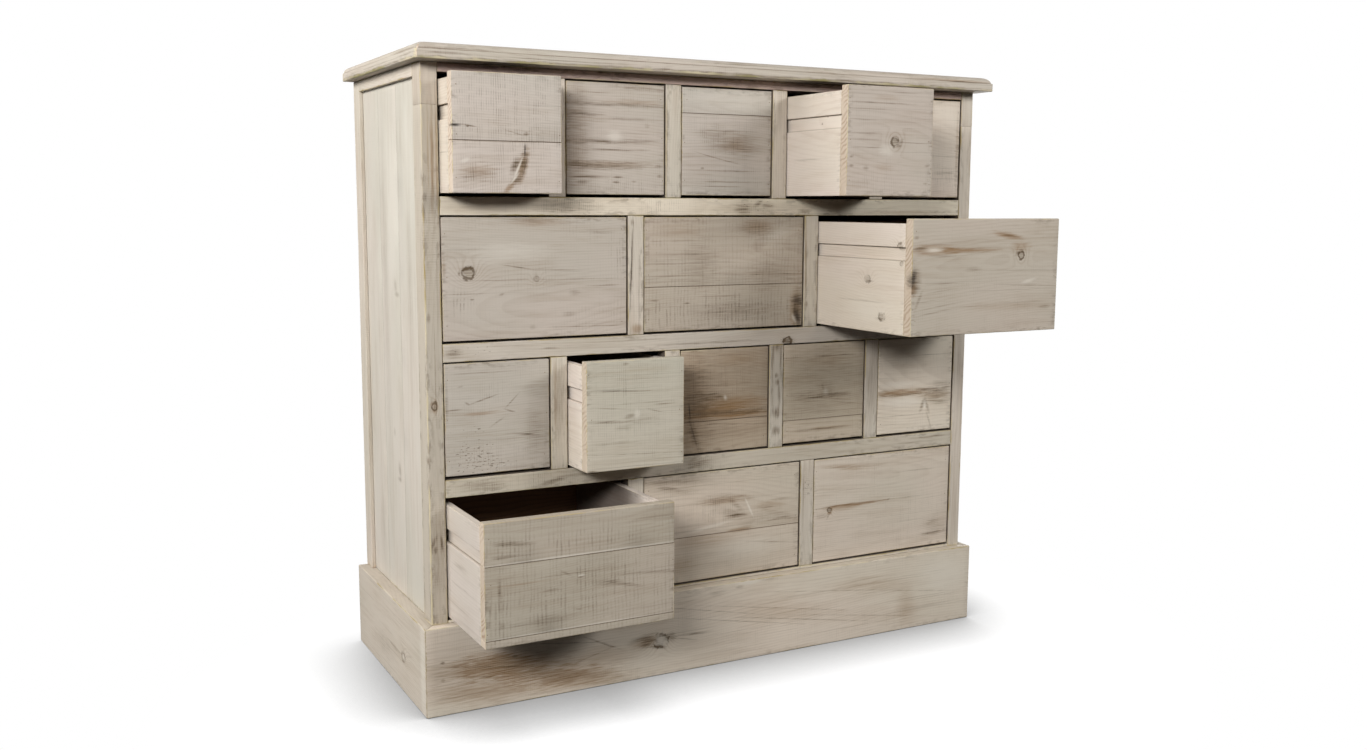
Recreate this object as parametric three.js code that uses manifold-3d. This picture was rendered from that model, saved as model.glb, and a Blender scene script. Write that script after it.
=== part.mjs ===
// A wide chest of sixteen drawers in whitewashed pine, in rows of five, three, five and three.
// Millimetres, +Z up. X runs across the front and Y runs from the front to the back.
// The origin is on the floor, at mid width, under the front face of the carcase.
// The drawers are placed as they stand in the chest's display pose: five are pulled out, eleven are shut.
import * as THREE from "three";
import { mergeVertices } from "three/addons/utils/BufferGeometryUtils.js";
import Module from "manifold-3d";

// Carcase
const carcaseWidth = 1050;
const carcaseDepth = 394;
const jointGap = 0.3; // between pieces that are glued or that rest on each other
const solidOverlap = 5; // how far the pieces of one glued-up body run into each other

// Plinth
const plinthHeight = 143;
const plinthThickness = 25;
const plinthProjection = 16; // how far it stands proud of the carcase

// Posts and rails
const postWidth = 26; // the width of a post, seen from the front
const frontPostDepth = 41;
const backPostDepth = 36;
const railDepth = 28;
const railHeight = 28.5;
const topRailHeight = 14.5;
const baseLip = 5; // the strip of base board that shows above the plinth
const baseThickness = 18;
const muntinWidth = 28.5;
const sideRailHeight = 19;
const sideBaseRailHeight = 35;

// Side panels and back
const panelThickness = 9;
const panelRecess = 7;
const panelTongue = 6; // how far the panel runs into the posts and the rail
const backThickness = 9;

// Top board
const topThickness = 25;
const topFrontOverhang = 36;
const topSideOverhang = 18;
const topCornerChamfer = 4;
const topLowerEase = 1.5;
const topBandHeight = 11.5;
const topStepDepth = 2.5;
const topFilletHeight = 3.5;
const topMouldWidth = 11;
const topRoundSteps = 6;

// Drawer openings, and the rows from the top down. An open share is a share of the drawer's travel.
const lowOpening = 183;
const tallOpening = 195;
const rows = [
  { opening: lowOpening, openShares: [0.215, 0, 0, 0.63, 0] },
  { opening: tallOpening, openShares: [0, 0, 0.94] },
  { opening: lowOpening, openShares: [0, 0.26, 0, 0, 0] },
  { opening: tallOpening, openShares: [0.61, 0, 0] },
];

// Drawers
const frontThickness = 18;
const frontInset = 1.7; // a shut drawer's front lies this far behind the rails
const frontSideGap = 2;
const frontTopGap = 2.5;
const frontBottomGap = 4.5;
const drawerSide = 12;
const drawerBack = 12;
const drawerBottom = 6;
const bottomRecess = 8; // the bottom panel's height above the lower edge of the sides
const sideDrop = 8; // the sides end this far below the top of the front
const clearanceBehindDrawer = 20;
const engagedLength = 65; // what stays in the carcase when a drawer is fully out

// Runners, and the grooves in the drawer sides that ride on them
const grooveDrop = 38; // from the top of the side to the top of the groove
const grooveHeight = 22;
const grooveDepth = 5;
const runnerHeight = 19;
const runnerEndPlay = 1; // between the runner and the floor of the groove

// Sizes that follow from these
const halfWidth = carcaseWidth / 2;
const openingLimit = halfWidth - postWidth;
const carcaseBase = plinthHeight + jointGap;
const carcaseHeight =
  baseLip + topRailHeight + railHeight * (rows.length - 1) + rows.reduce((sum, row) => sum + row.opening, 0);
const carcaseTop = plinthHeight + carcaseHeight;
const postHeight = carcaseTop - jointGap - carcaseBase;
const backPanelFront = carcaseDepth - backThickness;
const boxFront = frontInset + frontThickness + jointGap;
const boxLength = backPanelFront - clearanceBehindDrawer - boxFront;
const drawerTravel = boxLength - engagedLength;
const runnerReach = frontSideGap + grooveDepth - runnerEndPlay;
const panelOuterFace = halfWidth - panelRecess;
const panelInnerFace = panelOuterFace - panelThickness;

const wasm = await Module();
wasm.setup();

// A board by its low and high corners.
function board([x0, y0, z0], [x1, y1, z1]) {
  const box = new THREE.BoxGeometry(x1 - x0, y1 - y0, z1 - z0);
  return box.translate((x0 + x1) / 2, (y0 + y1) / 2, (z0 + z1) / 2);
}

function toSolid(geometry) {
  const bare = geometry.clone();
  bare.deleteAttribute("normal");
  bare.deleteAttribute("uv");
  const merged = mergeVertices(bare);
  const vertProperties = merged.attributes.position.array;
  const triVerts = new Uint32Array(merged.index.array);
  return new wasm.Manifold(new wasm.Mesh({ numProp: 3, vertProperties, triVerts }));
}

function toGeometry(solid) {
  const { vertProperties, triVerts } = solid.getMesh();
  const geometry = new THREE.BufferGeometry();
  geometry.setAttribute("position", new THREE.BufferAttribute(vertProperties, 3));
  geometry.setIndex(new THREE.BufferAttribute(triVerts, 1));
  geometry.computeVertexNormals();
  return geometry;
}

// Several boards glued into one body, with the cuts taken out of it.
function gluedBody(boards, cuts) {
  const body = boards.map(toSolid).reduce((whole, piece) => whole.add(piece));
  return toGeometry(cuts.map(toSolid).reduce((rest, cut) => rest.subtract(cut), body));
}

// The same piece for the other end of the chest.
function mirrored(geometry) {
  const other = toSolid(geometry).mirror([1, 0, 0]);
  return toGeometry(other);
}

// Closed outlines, one above the other, joined into a solid. Each runs anticlockwise seen from above.
function stackedOutlines(outlines) {
  const count = outlines[0].length;
  const index = [];
  for (let level = 0; level + 1 < outlines.length; level += 1) {
    for (let corner = 0; corner < count; corner += 1) {
      const low = level * count + corner;
      const lowNext = level * count + ((corner + 1) % count);
      index.push(low, lowNext, lowNext + count, low, lowNext + count, low + count);
    }
  }
  const top = (outlines.length - 1) * count;
  for (let corner = 1; corner + 1 < count; corner += 1) {
    index.push(0, corner + 1, corner);
    index.push(top, top + corner, top + corner + 1);
  }
  const geometry = new THREE.BufferGeometry();
  geometry.setAttribute("position", new THREE.Float32BufferAttribute(outlines.flat(2), 3));
  geometry.setIndex(index);
  geometry.computeVertexNormals();
  return geometry;
}

const paintedPine = new THREE.MeshStandardMaterial({ color: 0xc9bfb0, roughness: 0.75, metalness: 0 });
const barePine = new THREE.MeshStandardMaterial({ color: 0xa8896b, roughness: 0.85, metalness: 0 });
const darkPine = new THREE.MeshStandardMaterial({ color: 0x6e543e, roughness: 0.9, metalness: 0 });

function piece(name, geometry, material) {
  const mesh = new THREE.Mesh(geometry, material.clone());
  mesh.name = name;
  return mesh;
}

// The top board: a lower band, a small step, and a quarter round up to the top face.
function topBoard() {
  const profile = [
    [topLowerEase, 0],
    [0, topLowerEase],
    [0, topBandHeight],
    [topStepDepth, topBandHeight],
  ];
  const roundBase = topBandHeight + topFilletHeight;
  for (let step = 0; step <= topRoundSteps; step += 1) {
    const angle = ((step / topRoundSteps) * Math.PI) / 2;
    profile.push([
      topStepDepth + (topMouldWidth - topStepDepth) * (1 - Math.cos(angle)),
      roundBase + (topThickness - roundBase) * Math.sin(angle),
    ]);
  }
  const outlines = profile.map(([inset, height]) => {
    const side = halfWidth + topSideOverhang - inset;
    const front = -topFrontOverhang + inset;
    return [
      [-side, carcaseDepth, height],
      [-side, front + topCornerChamfer, height],
      [-side + topCornerChamfer, front, height],
      [side - topCornerChamfer, front, height],
      [side, front + topCornerChamfer, height],
      [side, carcaseDepth, height],
    ];
  });
  const mesh = piece("top_board", stackedOutlines(outlines), paintedPine);
  mesh.position.z = carcaseTop;
  return mesh;
}

// The plinth's boards meet in mitres at the two front corners.
function plinth() {
  const outer = halfWidth + plinthProjection;
  const inner = outer - plinthThickness;
  const mitreGap = jointGap * Math.SQRT2;
  const extrusion = { depth: plinthHeight, bevelEnabled: false };
  const group = new THREE.Group();

  const frontPlan = new THREE.Shape([
    new THREE.Vector2(-outer, 0),
    new THREE.Vector2(outer, 0),
    new THREE.Vector2(inner, plinthThickness),
    new THREE.Vector2(-inner, plinthThickness),
  ]);
  group.add(piece("plinth_front", new THREE.ExtrudeGeometry(frontPlan, extrusion), paintedPine));

  const endPlan = new THREE.Shape([
    new THREE.Vector2(outer, mitreGap),
    new THREE.Vector2(outer, carcaseDepth + plinthProjection),
    new THREE.Vector2(inner, carcaseDepth + plinthProjection),
    new THREE.Vector2(inner, plinthThickness + mitreGap),
  ]);
  const end = new THREE.ExtrudeGeometry(endPlan, extrusion);
  group.add(piece("plinth_right", end, paintedPine));
  group.add(piece("plinth_left", mirrored(end), paintedPine));
  group.position.y = -plinthProjection;
  return group;
}

// The space that a side panel takes, with play all round it. It is cut from what holds the panel.
function panelSpace(play) {
  return board(
    [panelInnerFace - play, frontPostDepth - panelTongue - play, carcaseBase - play],
    [
      panelOuterFace + play,
      carcaseDepth - backPostDepth + panelTongue + play,
      carcaseTop - jointGap - sideRailHeight + panelTongue + play,
    ],
  );
}

// The height of each row's opening above the floor, from the top row down.
function openingFloors() {
  let level = carcaseTop - topRailHeight;
  return rows.map((row) => {
    const floor = level - row.opening;
    level = floor - railHeight;
    return floor;
  });
}

// The top of the runners that carry a row of drawers.
function runnerTop(row, floor) {
  const sideTop = floor + row.opening - frontTopGap - sideDrop;
  return sideTop - grooveDrop - jointGap;
}

function sideRunners() {
  return openingFloors().map((floor, index) => {
    const top = runnerTop(rows[index], floor);
    return board(
      [openingLimit - runnerReach, frontPostDepth + jointGap, top - runnerHeight],
      [panelInnerFace - jointGap, carcaseDepth - backPostDepth + solidOverlap, top],
    );
  });
}

// Both ends of the chest: a front post, a panel, and the frame of back post, rails and runners.
function chestEnds() {
  const group = new THREE.Group();
  const panelGroove = panelSpace(jointGap);
  const postFoot = [openingLimit, 0, carcaseBase];
  const postHead = [halfWidth, frontPostDepth, carcaseBase + postHeight];
  const frontPost = gluedBody([board(postFoot, postHead)], [panelGroove]);

  const backPost = board(
    [openingLimit, carcaseDepth - backPostDepth, carcaseBase],
    [halfWidth, carcaseDepth, carcaseBase + postHeight],
  );
  const topRail = board(
    [openingLimit, frontPostDepth + jointGap, carcaseTop - jointGap - sideRailHeight],
    [halfWidth, carcaseDepth - backPostDepth + solidOverlap, carcaseTop - jointGap],
  );
  const baseRail = board(
    [openingLimit, frontPostDepth + jointGap, carcaseBase],
    [panelInnerFace - jointGap, carcaseDepth - backPostDepth + solidOverlap, carcaseBase + sideBaseRailHeight],
  );
  const frame = gluedBody([backPost, topRail, baseRail, ...sideRunners()], [panelGroove]);
  const panel = panelSpace(0);

  group.add(piece("front_post_right", frontPost, paintedPine));
  group.add(piece("front_post_left", mirrored(frontPost), paintedPine));
  group.add(piece("side_frame_right", frame, paintedPine));
  group.add(piece("side_frame_left", mirrored(frame), paintedPine));
  group.add(piece("side_panel_right", panel, paintedPine));
  group.add(piece("side_panel_left", mirrored(panel), paintedPine));
  return group;
}

// The rails across the front, from the top down.
function frontRails() {
  const group = new THREE.Group();
  const reach = openingLimit - jointGap;
  const topRail = board([-reach, 0, 0], [reach, railDepth, topRailHeight - jointGap]);
  const top = piece("front_rail_top", topRail, paintedPine);
  top.position.z = carcaseTop - topRailHeight;
  group.add(top);
  openingFloors()
    .slice(0, -1)
    .forEach((floor, index) => {
      const rail = board([-reach, 0, 0], [reach, railDepth, railHeight]);
      const mesh = piece(`front_rail_${index + 1}`, rail, paintedPine);
      mesh.position.z = floor - railHeight;
      group.add(mesh);
    });
  return group;
}

// The base board is rebated along its front, so that it laps over the plinth.
function baseBoard() {
  const reach = openingLimit - jointGap;
  const top = plinthHeight + baseLip;
  const lapDepth = plinthThickness - plinthProjection + jointGap;
  const slab = board([-reach, 0, top - baseThickness], [reach, backPanelFront - jointGap, top]);
  const rebate = board(
    [-reach - solidOverlap, -solidOverlap, top - baseThickness - solidOverlap],
    [reach + solidOverlap, lapDepth, carcaseBase],
  );
  return piece("base_board", gluedBody([slab], [rebate]), darkPine);
}

function backPanel() {
  const reach = openingLimit - jointGap;
  const base = plinthHeight + baseLip - baseThickness;
  const panel = board([-reach, backPanelFront, base], [reach, carcaseDepth, carcaseTop - jointGap]);
  return piece("back_panel", panel, barePine);
}

// The clear width of each opening in a row.
function openingWidth(row) {
  const count = row.openShares.length;
  return (openingLimit * 2 - muntinWidth * (count - 1)) / count;
}

// A muntin stands between two rails, and the bar behind it carries the drawers on both sides.
function dividers() {
  const group = new THREE.Group();
  const half = muntinWidth / 2;
  const barEnd = backPanelFront - jointGap;
  openingFloors().forEach((floor, index) => {
    const row = rows[index];
    const top = runnerTop(row, floor) - floor;
    const upright = board([-half, 0, jointGap], [half, railDepth, row.opening - jointGap]);
    const core = board([-half, railDepth - solidOverlap, top - runnerHeight], [half, barEnd, top]);
    const runner = board(
      [-half - runnerReach, railDepth + jointGap, top - runnerHeight],
      [half + runnerReach, barEnd, top],
    );
    const shape = gluedBody([upright, core, runner], []);
    const pitch = openingWidth(row) + muntinWidth;
    for (let place = 1; place < row.openShares.length; place += 1) {
      const mesh = piece(`divider_${index + 1}_${place}`, shape, paintedPine);
      mesh.position.set(-openingLimit + place * pitch - half, 0, floor);
      group.add(mesh);
    }
  });
  return group;
}

// A drawer's box: two grooved sides, a back and a bottom. Its front end stands behind the front slab.
function drawerBox(width, sideHeight) {
  const half = width / 2;
  const outside = board([-half, 0, 0], [half, boxLength, sideHeight]);
  const inside = board(
    [-half + drawerSide, -solidOverlap, bottomRecess + drawerBottom],
    [half - drawerSide, boxLength - drawerBack, sideHeight + solidOverlap],
  );
  const underside = board(
    [-half + drawerSide, -solidOverlap, -solidOverlap],
    [half - drawerSide, boxLength - drawerBack, bottomRecess],
  );
  const grooveTop = sideHeight - grooveDrop;
  const groove = board(
    [half - grooveDepth, -solidOverlap, grooveTop - grooveHeight],
    [half + solidOverlap, boxLength + solidOverlap, grooveTop],
  );
  return gluedBody([outside], [inside, underside, groove, mirrored(groove)]);
}

function drawers() {
  const group = new THREE.Group();
  openingFloors().forEach((floor, index) => {
    const row = rows[index];
    const opening = openingWidth(row);
    const width = opening - frontSideGap * 2;
    const height = row.opening - frontTopGap - frontBottomGap;
    const slab = board([-width / 2, 0, 0], [width / 2, frontThickness, height]);
    const box = drawerBox(width, height - sideDrop);
    row.openShares.forEach((openShare, place) => {
      const drawer = new THREE.Group();
      const name = `drawer_${index + 1}_${place + 1}`;
      const boxMesh = piece(`${name}_box`, box, barePine);
      boxMesh.position.y = frontThickness + jointGap;
      drawer.add(piece(`${name}_front`, slab, paintedPine), boxMesh);
      drawer.position.set(
        -openingLimit + opening / 2 + place * (opening + muntinWidth),
        frontInset - openShare * drawerTravel,
        floor + frontBottomGap,
      );
      group.add(drawer);
    });
  });
  return group;
}

const chest = new THREE.Group();
chest.add(topBoard(), plinth(), chestEnds(), frontRails(), baseBoard(), backPanel(), dividers(), drawers());

export default chest;
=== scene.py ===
import math

import bmesh
import bpy
import numpy as np
from mathutils import Euler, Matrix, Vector


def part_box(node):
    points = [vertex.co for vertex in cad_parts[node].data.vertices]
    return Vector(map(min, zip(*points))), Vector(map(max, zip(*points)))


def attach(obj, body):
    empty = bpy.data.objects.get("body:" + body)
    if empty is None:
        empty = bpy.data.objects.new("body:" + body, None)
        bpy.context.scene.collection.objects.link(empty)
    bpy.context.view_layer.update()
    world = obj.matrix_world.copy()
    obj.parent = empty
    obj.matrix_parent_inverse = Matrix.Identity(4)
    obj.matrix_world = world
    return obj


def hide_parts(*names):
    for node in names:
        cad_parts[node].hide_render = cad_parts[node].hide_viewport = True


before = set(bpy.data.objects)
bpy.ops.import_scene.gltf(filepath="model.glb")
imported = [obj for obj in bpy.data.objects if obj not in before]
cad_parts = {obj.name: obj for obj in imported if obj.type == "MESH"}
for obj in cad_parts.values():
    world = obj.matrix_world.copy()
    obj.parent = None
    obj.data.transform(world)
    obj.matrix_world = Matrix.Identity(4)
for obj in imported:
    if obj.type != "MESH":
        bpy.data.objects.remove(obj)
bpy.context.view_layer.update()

# Viewpoint
# The chest is seen from its left front corner, from a little below its top board.
# The place and the focal length were fitted to the chest's edges, so the lens needs no shift.
camera_place = (-1.0888, -1.8755, 0.7956)
camera_turn_degrees = (82.399, -0.264, -28.190)
camera_sensor_width = 36
camera_focal_length = 33.603

camera = bpy.data.objects.new("camera", bpy.data.cameras.new("camera"))
camera.location = camera_place
camera.rotation_euler = Euler([math.radians(angle) for angle in camera_turn_degrees])
camera.data.sensor_width = camera_sensor_width
camera.data.lens = camera_focal_length
bpy.context.scene.collection.objects.link(camera)
bpy.context.scene.camera = camera

# Plinth
# Three pine boards stand on edge round the foot of the chest, mitred at the two front corners.
# They are glued and bradded to the posts, and their faces carry the same rubbed whitewash as the rest.
mm = 0.001
X, Y, Z = range(3)
grain_seed = 52
draw = np.random.default_rng(grain_seed)


class Wire:
    """A number or a vector in a node tree. A sum or a product of wires adds the node that works it out."""

    def __init__(self, wires, socket):
        self.wires, self.socket = wires, socket

    def __add__(self, other):
        return self.wires.math("ADD", self, other)

    def __sub__(self, other):
        return self.wires.math("SUBTRACT", self, other)

    def __rsub__(self, other):
        return self.wires.math("SUBTRACT", other, self)

    def __mul__(self, other):
        return self.wires.math("MULTIPLY", self, other)

    def __truediv__(self, other):
        return self.wires.math("DIVIDE", self, other)

    def step(self, low, high):
        """0 below low and 1 above high, or the other way round where high is the lower."""
        inputs = {"Value": self, "From Min": low, "From Max": high}
        return self.wires.add("ShaderNodeMapRange", inputs, "Result", interpolation_type="SMOOTHSTEP")

    def held(self):
        """The same value, kept between 0 and 1."""
        return self.wires.math("MAXIMUM", self.wires.math("MINIMUM", self, 1.0), 0.0)


class Wires:
    """Adds nodes to one shader or geometry tree, with their settings and with their inputs by name."""

    def __init__(self, tree):
        self.tree = tree

    def fill(self, node, inputs):
        """Links the wires among the inputs to a node, and sets the plain values."""
        for name, value in inputs.items():
            if isinstance(value, Wire):
                self.tree.links.new(value.socket, node.inputs[name])
            else:
                node.inputs[name].default_value = value

    def node(self, kind, inputs=None, **settings):
        node = self.tree.nodes.new(kind)
        for name, value in settings.items():
            setattr(node, name, value)
        self.fill(node, inputs or {})
        return node

    def add(self, kind, inputs=None, output=0, **settings):
        """Adds a node, and gives one of its outputs."""
        return Wire(self, self.node(kind, inputs, **settings).outputs[output])

    def named(self, kind, inputs=None, **settings):
        """Adds a node, and gives all its outputs by name."""
        return {socket.name: Wire(self, socket) for socket in self.node(kind, inputs, **settings).outputs}

    def group(self, tree, inputs):
        return self.named("ShaderNodeGroup", inputs, node_tree=tree)

    def math(self, operation, *values):
        """One sum on numbers, or on vectors where there is a vector among its values."""
        inputs = dict(enumerate(values))
        if any(isinstance(value, Wire) and value.socket.type == "VECTOR" for value in values):
            output = "Value" if operation == "LENGTH" else "Vector"
            return self.add("ShaderNodeVectorMath", inputs, output, operation=operation)
        return self.add("ShaderNodeMath", inputs, operation=operation)

    def hypotenuse(self, first, second):
        return self.math("SQRT", first * first + second * second)

    def split(self, vector):
        return self.named("ShaderNodeSeparateXYZ", {"Vector": vector}).values()

    def noise(self, given, scales, detail=2.0, roughness=0.5, output="Fac"):
        """Noise on the board's own measure, with so many waves in a metre along, across and through it."""
        spot = given["Place"] * scales + given["Shift"]
        inputs = {"Vector": spot, "Scale": 1.0, "Detail": detail, "Roughness": roughness}
        return self.add("ShaderNodeTexNoise", inputs, output)

    def mix(self, share, first, second):
        inputs = {0: share, 6: first, 7: second}
        return self.add("ShaderNodeMix", inputs, 2, data_type="RGBA", clamp_factor=True)

    def put_out(self, results):
        """Ends the tree with one output for each result, and gives the tree."""
        kinds = {"Colour": "Color", "Geometry": "Geometry"}
        for name in results:
            kind = f"NodeSocket{kinds.get(name, 'Float')}"
            self.tree.interface.new_socket(name, in_out="OUTPUT", socket_type=kind)
        self.node("NodeGroupOutput", results)
        return self.tree


def new_tree(name, use, **takes):
    """A node tree with named inputs, listed by kind: its wires, and its inputs by name."""
    tree = bpy.data.node_groups.new(name, f"{use}NodeTree")
    for kind, sockets in takes.items():
        for socket in sockets.split(", "):
            tree.interface.new_socket(socket, in_out="INPUT", socket_type=f"NodeSocket{kind}")
    wires = Wires(tree)
    return wires, wires.named("NodeGroupInput")


def arris_wear_group():
    """Where the sharp edges of a board are rubbed through, and where its end grain shows."""
    least_reach = 0.05 * mm
    least_share, share_spread = -0.4, 2.6
    end_blend = 0.3 * mm
    end_ring_width = 8.5 * mm
    end_ring_wander = 22 * mm
    end_ring_slant = 0.75
    grime_far, grime_near = 14 * mm, 1 * mm
    wires, given = new_tree("arris wear", "Shader", Vector="Place, Size, Shift", Float="Reach")
    place = given["Place"]
    along, across, through = wires.split(wires.math("MINIMUM", place, given["Size"] - place))
    lesser = wires.math("MINIMUM", across, through)
    greater = wires.math("MAXIMUM", across, through)
    arris = wires.math("MAXIMUM", lesser, wires.math("MINIMUM", greater, along))
    ragged = wires.noise(given, (60, 240, 240), detail=3)
    reach = given["Reach"] * (ragged * share_spread + least_share)
    share = arris / wires.math("MAXIMUM", reach, least_reach)
    rubbed = wires.noise(given, (14, 26, 26))
    worn = share.step(1.1, 0.4) * rubbed.step(0.38, 0.56)
    _, place_across, place_through = wires.split(place)
    uneven = wires.noise(given, (4, 40, 40), detail=1)
    slanted = place_across + uneven * end_ring_wander + place_through * end_ring_slant
    ring_wave = wires.math("SINE", slanted / end_ring_width * (2 * math.pi))
    faint = wires.noise(given, (4, 22, 22))
    blotched = wires.noise(given, (55, 150, 150), detail=3, roughness=0.6)
    spread = wires.noise(given, (7, 12, 12), detail=1)
    return wires.put_out({
        "Worn": worn,
        "End grain": (along - lesser).step(end_blend, -end_blend),
        "End rings": ring_wave.step(-0.4, 1.0) * faint.step(0.36, 0.62),
        "Grime": arris.step(grime_far, grime_near) * blotched.step(0.46, 0.64) * spread.step(0.4, 0.62),
    })


def pine_figure_group():
    """Growth rings cut by the board's face, streaks and fibres along it, and broad changes of tone."""
    ring_width = 3.6 * mm
    ring_wobble = 5 * mm
    wander_width, wander_depth = 110 * mm, 70 * mm
    pith_spread, pith_start = 340 * mm, -70 * mm
    pith_depth_spread, pith_least_depth = 90 * mm, 12 * mm
    wires, given = new_tree("pine figure", "Shader", Vector="Place, Shift", Float="Lift")
    wander = wires.noise(given, (1.6, 4, 4), detail=1, output="Color")
    wander_across, wander_through, _ = wires.split(wander)
    wobble = wires.noise(given, (9, 22, 22))
    _, across, through = wires.split(given["Place"])
    shift_across, shift_through, _ = wires.split(given["Shift"])
    pith_across = wires.math("FRACT", shift_across) * pith_spread + pith_start
    pith_depth = wires.math("FRACT", shift_through) * pith_depth_spread + pith_least_depth
    from_pith = wander_across * wander_width + across - pith_across
    depth = wander_through * wander_depth + through + pith_depth
    radius = wires.hypotenuse(from_pith, depth) + wobble * ring_wobble + given["Lift"]
    year = wires.math("FRACT", radius / ring_width)
    streak = wires.noise(given, (6, 105, 105), detail=3, roughness=0.55)
    return wires.put_out({
        "Rings": year.step(0.35, 0.86) * year.step(1.0, 0.9),
        "Streak": streak.step(0.4, 0.66),
        "Fibre": wires.noise(given, (26, 640, 640), detail=3, roughness=0.6),
        "Hairline": wires.noise(given, (3.6, 330, 330), roughness=0.55).step(0.61, 0.7),
        "Cloud": wires.noise(given, (6, 17, 17), detail=3),
        "Drift": wires.noise(given, (2.2, 6, 6)),
    })


def saw_kerf_group():
    """Fine lines that the saw left across the grain, a few millimetres apart, in broken bands."""
    line_waver = 1.6
    band_gain = 0.2
    wires, given = new_tree("saw kerfs", "Shader", Vector="Place, Shift", Float="Share, Pitch")
    along, _, _ = wires.split(given["Place"])
    uneven = wires.noise(given, (45, 14, 14))
    wave = wires.math("SINE", (uneven * line_waver + along / given["Pitch"]) * (2 * math.pi))
    deep = wires.noise(given, (170, 12, 12), roughness=0.7)
    broken = wires.noise(given, (60, 160, 90), detail=3)
    bands = wires.noise(given, (13, 20, 20))
    cut = wave.step(-0.4, 1.0) * deep.step(0.3, 0.66) * broken.step(0.26, 0.64)
    shown = bands.step(0.44, 0.66) * band_gain + given["Share"]
    return wires.put_out({"Kerf": cut * wires.math("MINIMUM", shown, 1.0)})


def soft_patch_group():
    """One long blot on the face of a board: 1 at its middle, with an edge that frays along the grain."""
    faded_share, full_share = 1.55, 0.1
    fray = 1.7
    wires, given = new_tree(
        "soft patch", "Shader", Vector="Place, Shift, Centre, Half size", Float="Turn, Strength"
    )
    inputs = {"Vector": given["Place"] - given["Centre"], "Angle": given["Turn"]}
    turned = wires.add("ShaderNodeVectorRotate", inputs, rotation_type="Z_AXIS")
    frayed = wires.noise(given, (34, 420, 90), detail=4, roughness=0.68)
    share = wires.math("LENGTH", turned / given["Half size"]) + (frayed - 0.5) * fray
    return wires.put_out({"Mask": share.step(faded_share, full_share) * given["Strength"]})


def pine_knot_group():
    """A knot: its dark bark rim, its core, how near it is, and how far it lifts the rings round it."""
    rim_start, rim_full, rim_last, rim_end = 0.5, 0.8, 0.98, 1.28
    core_full = 0.55
    rim_raggedness = 1.3
    least_rim = 0.25
    nearness_fall = -0.22
    ring_lift = 1.8
    wires, given = new_tree(
        "pine knot", "Shader", Vector="Place, Shift, Centre", Float="Radius, Stretch, Strength"
    )
    along, across, _ = wires.split(given["Place"] - given["Centre"])
    share = wires.hypotenuse(along / given["Stretch"], across) / given["Radius"]
    uneven = wires.noise(given, (150, 150, 20), detail=3, roughness=0.6)
    ragged = (uneven - 0.5) * rim_raggedness + share
    band = ragged.step(rim_start, rim_full) * ragged.step(rim_end, rim_last)
    broken = wires.noise(given, (80, 80, 10), detail=1)
    near = wires.math("EXPONENT", share * share * nearness_fall)
    strength = given["Strength"]
    return wires.put_out({
        "Rim": band * (broken.step(0.4, 0.54) * (1 - least_rim) + least_rim) * strength,
        "Core": ragged.step(rim_full, core_full) * strength,
        "Near": near * strength,
        "Lift": near * given["Radius"] * ring_lift,
    })


def speck_group():
    """Small dark pits in a patch of the face: the greater the share, the more of them."""
    rare_pit, pit_gain = 0.77, -0.17
    pit_edge = 0.04
    full_from = 0.2
    wires, given = new_tree("specks", "Shader", Vector="Place, Shift", Float="Share")
    pits = wires.noise(given, (150, 420, 40))
    pit = (pits - (given["Share"] * pit_gain + rare_pit)).step(0.0, pit_edge)
    return wires.put_out({"Speck": pit * given["Share"].step(0.0, full_from)})


def as_seen(red, green, blue):
    """A colour as it looks on a screen, 0 to 255, in the linear values that the shader takes."""
    return tuple(
        value / 12.92 if value <= 0.04045 else ((value + 0.055) / 1.055) ** 2.4
        for value in (red / 255, green / 255, blue / 255)
    ) + (1.0,)


arris_wear = arris_wear_group()
pine_figure = pine_figure_group()
saw_kerfs = saw_kerf_group()
soft_patch = soft_patch_group()
pine_knot = pine_knot_group()
specks = speck_group()


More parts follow.
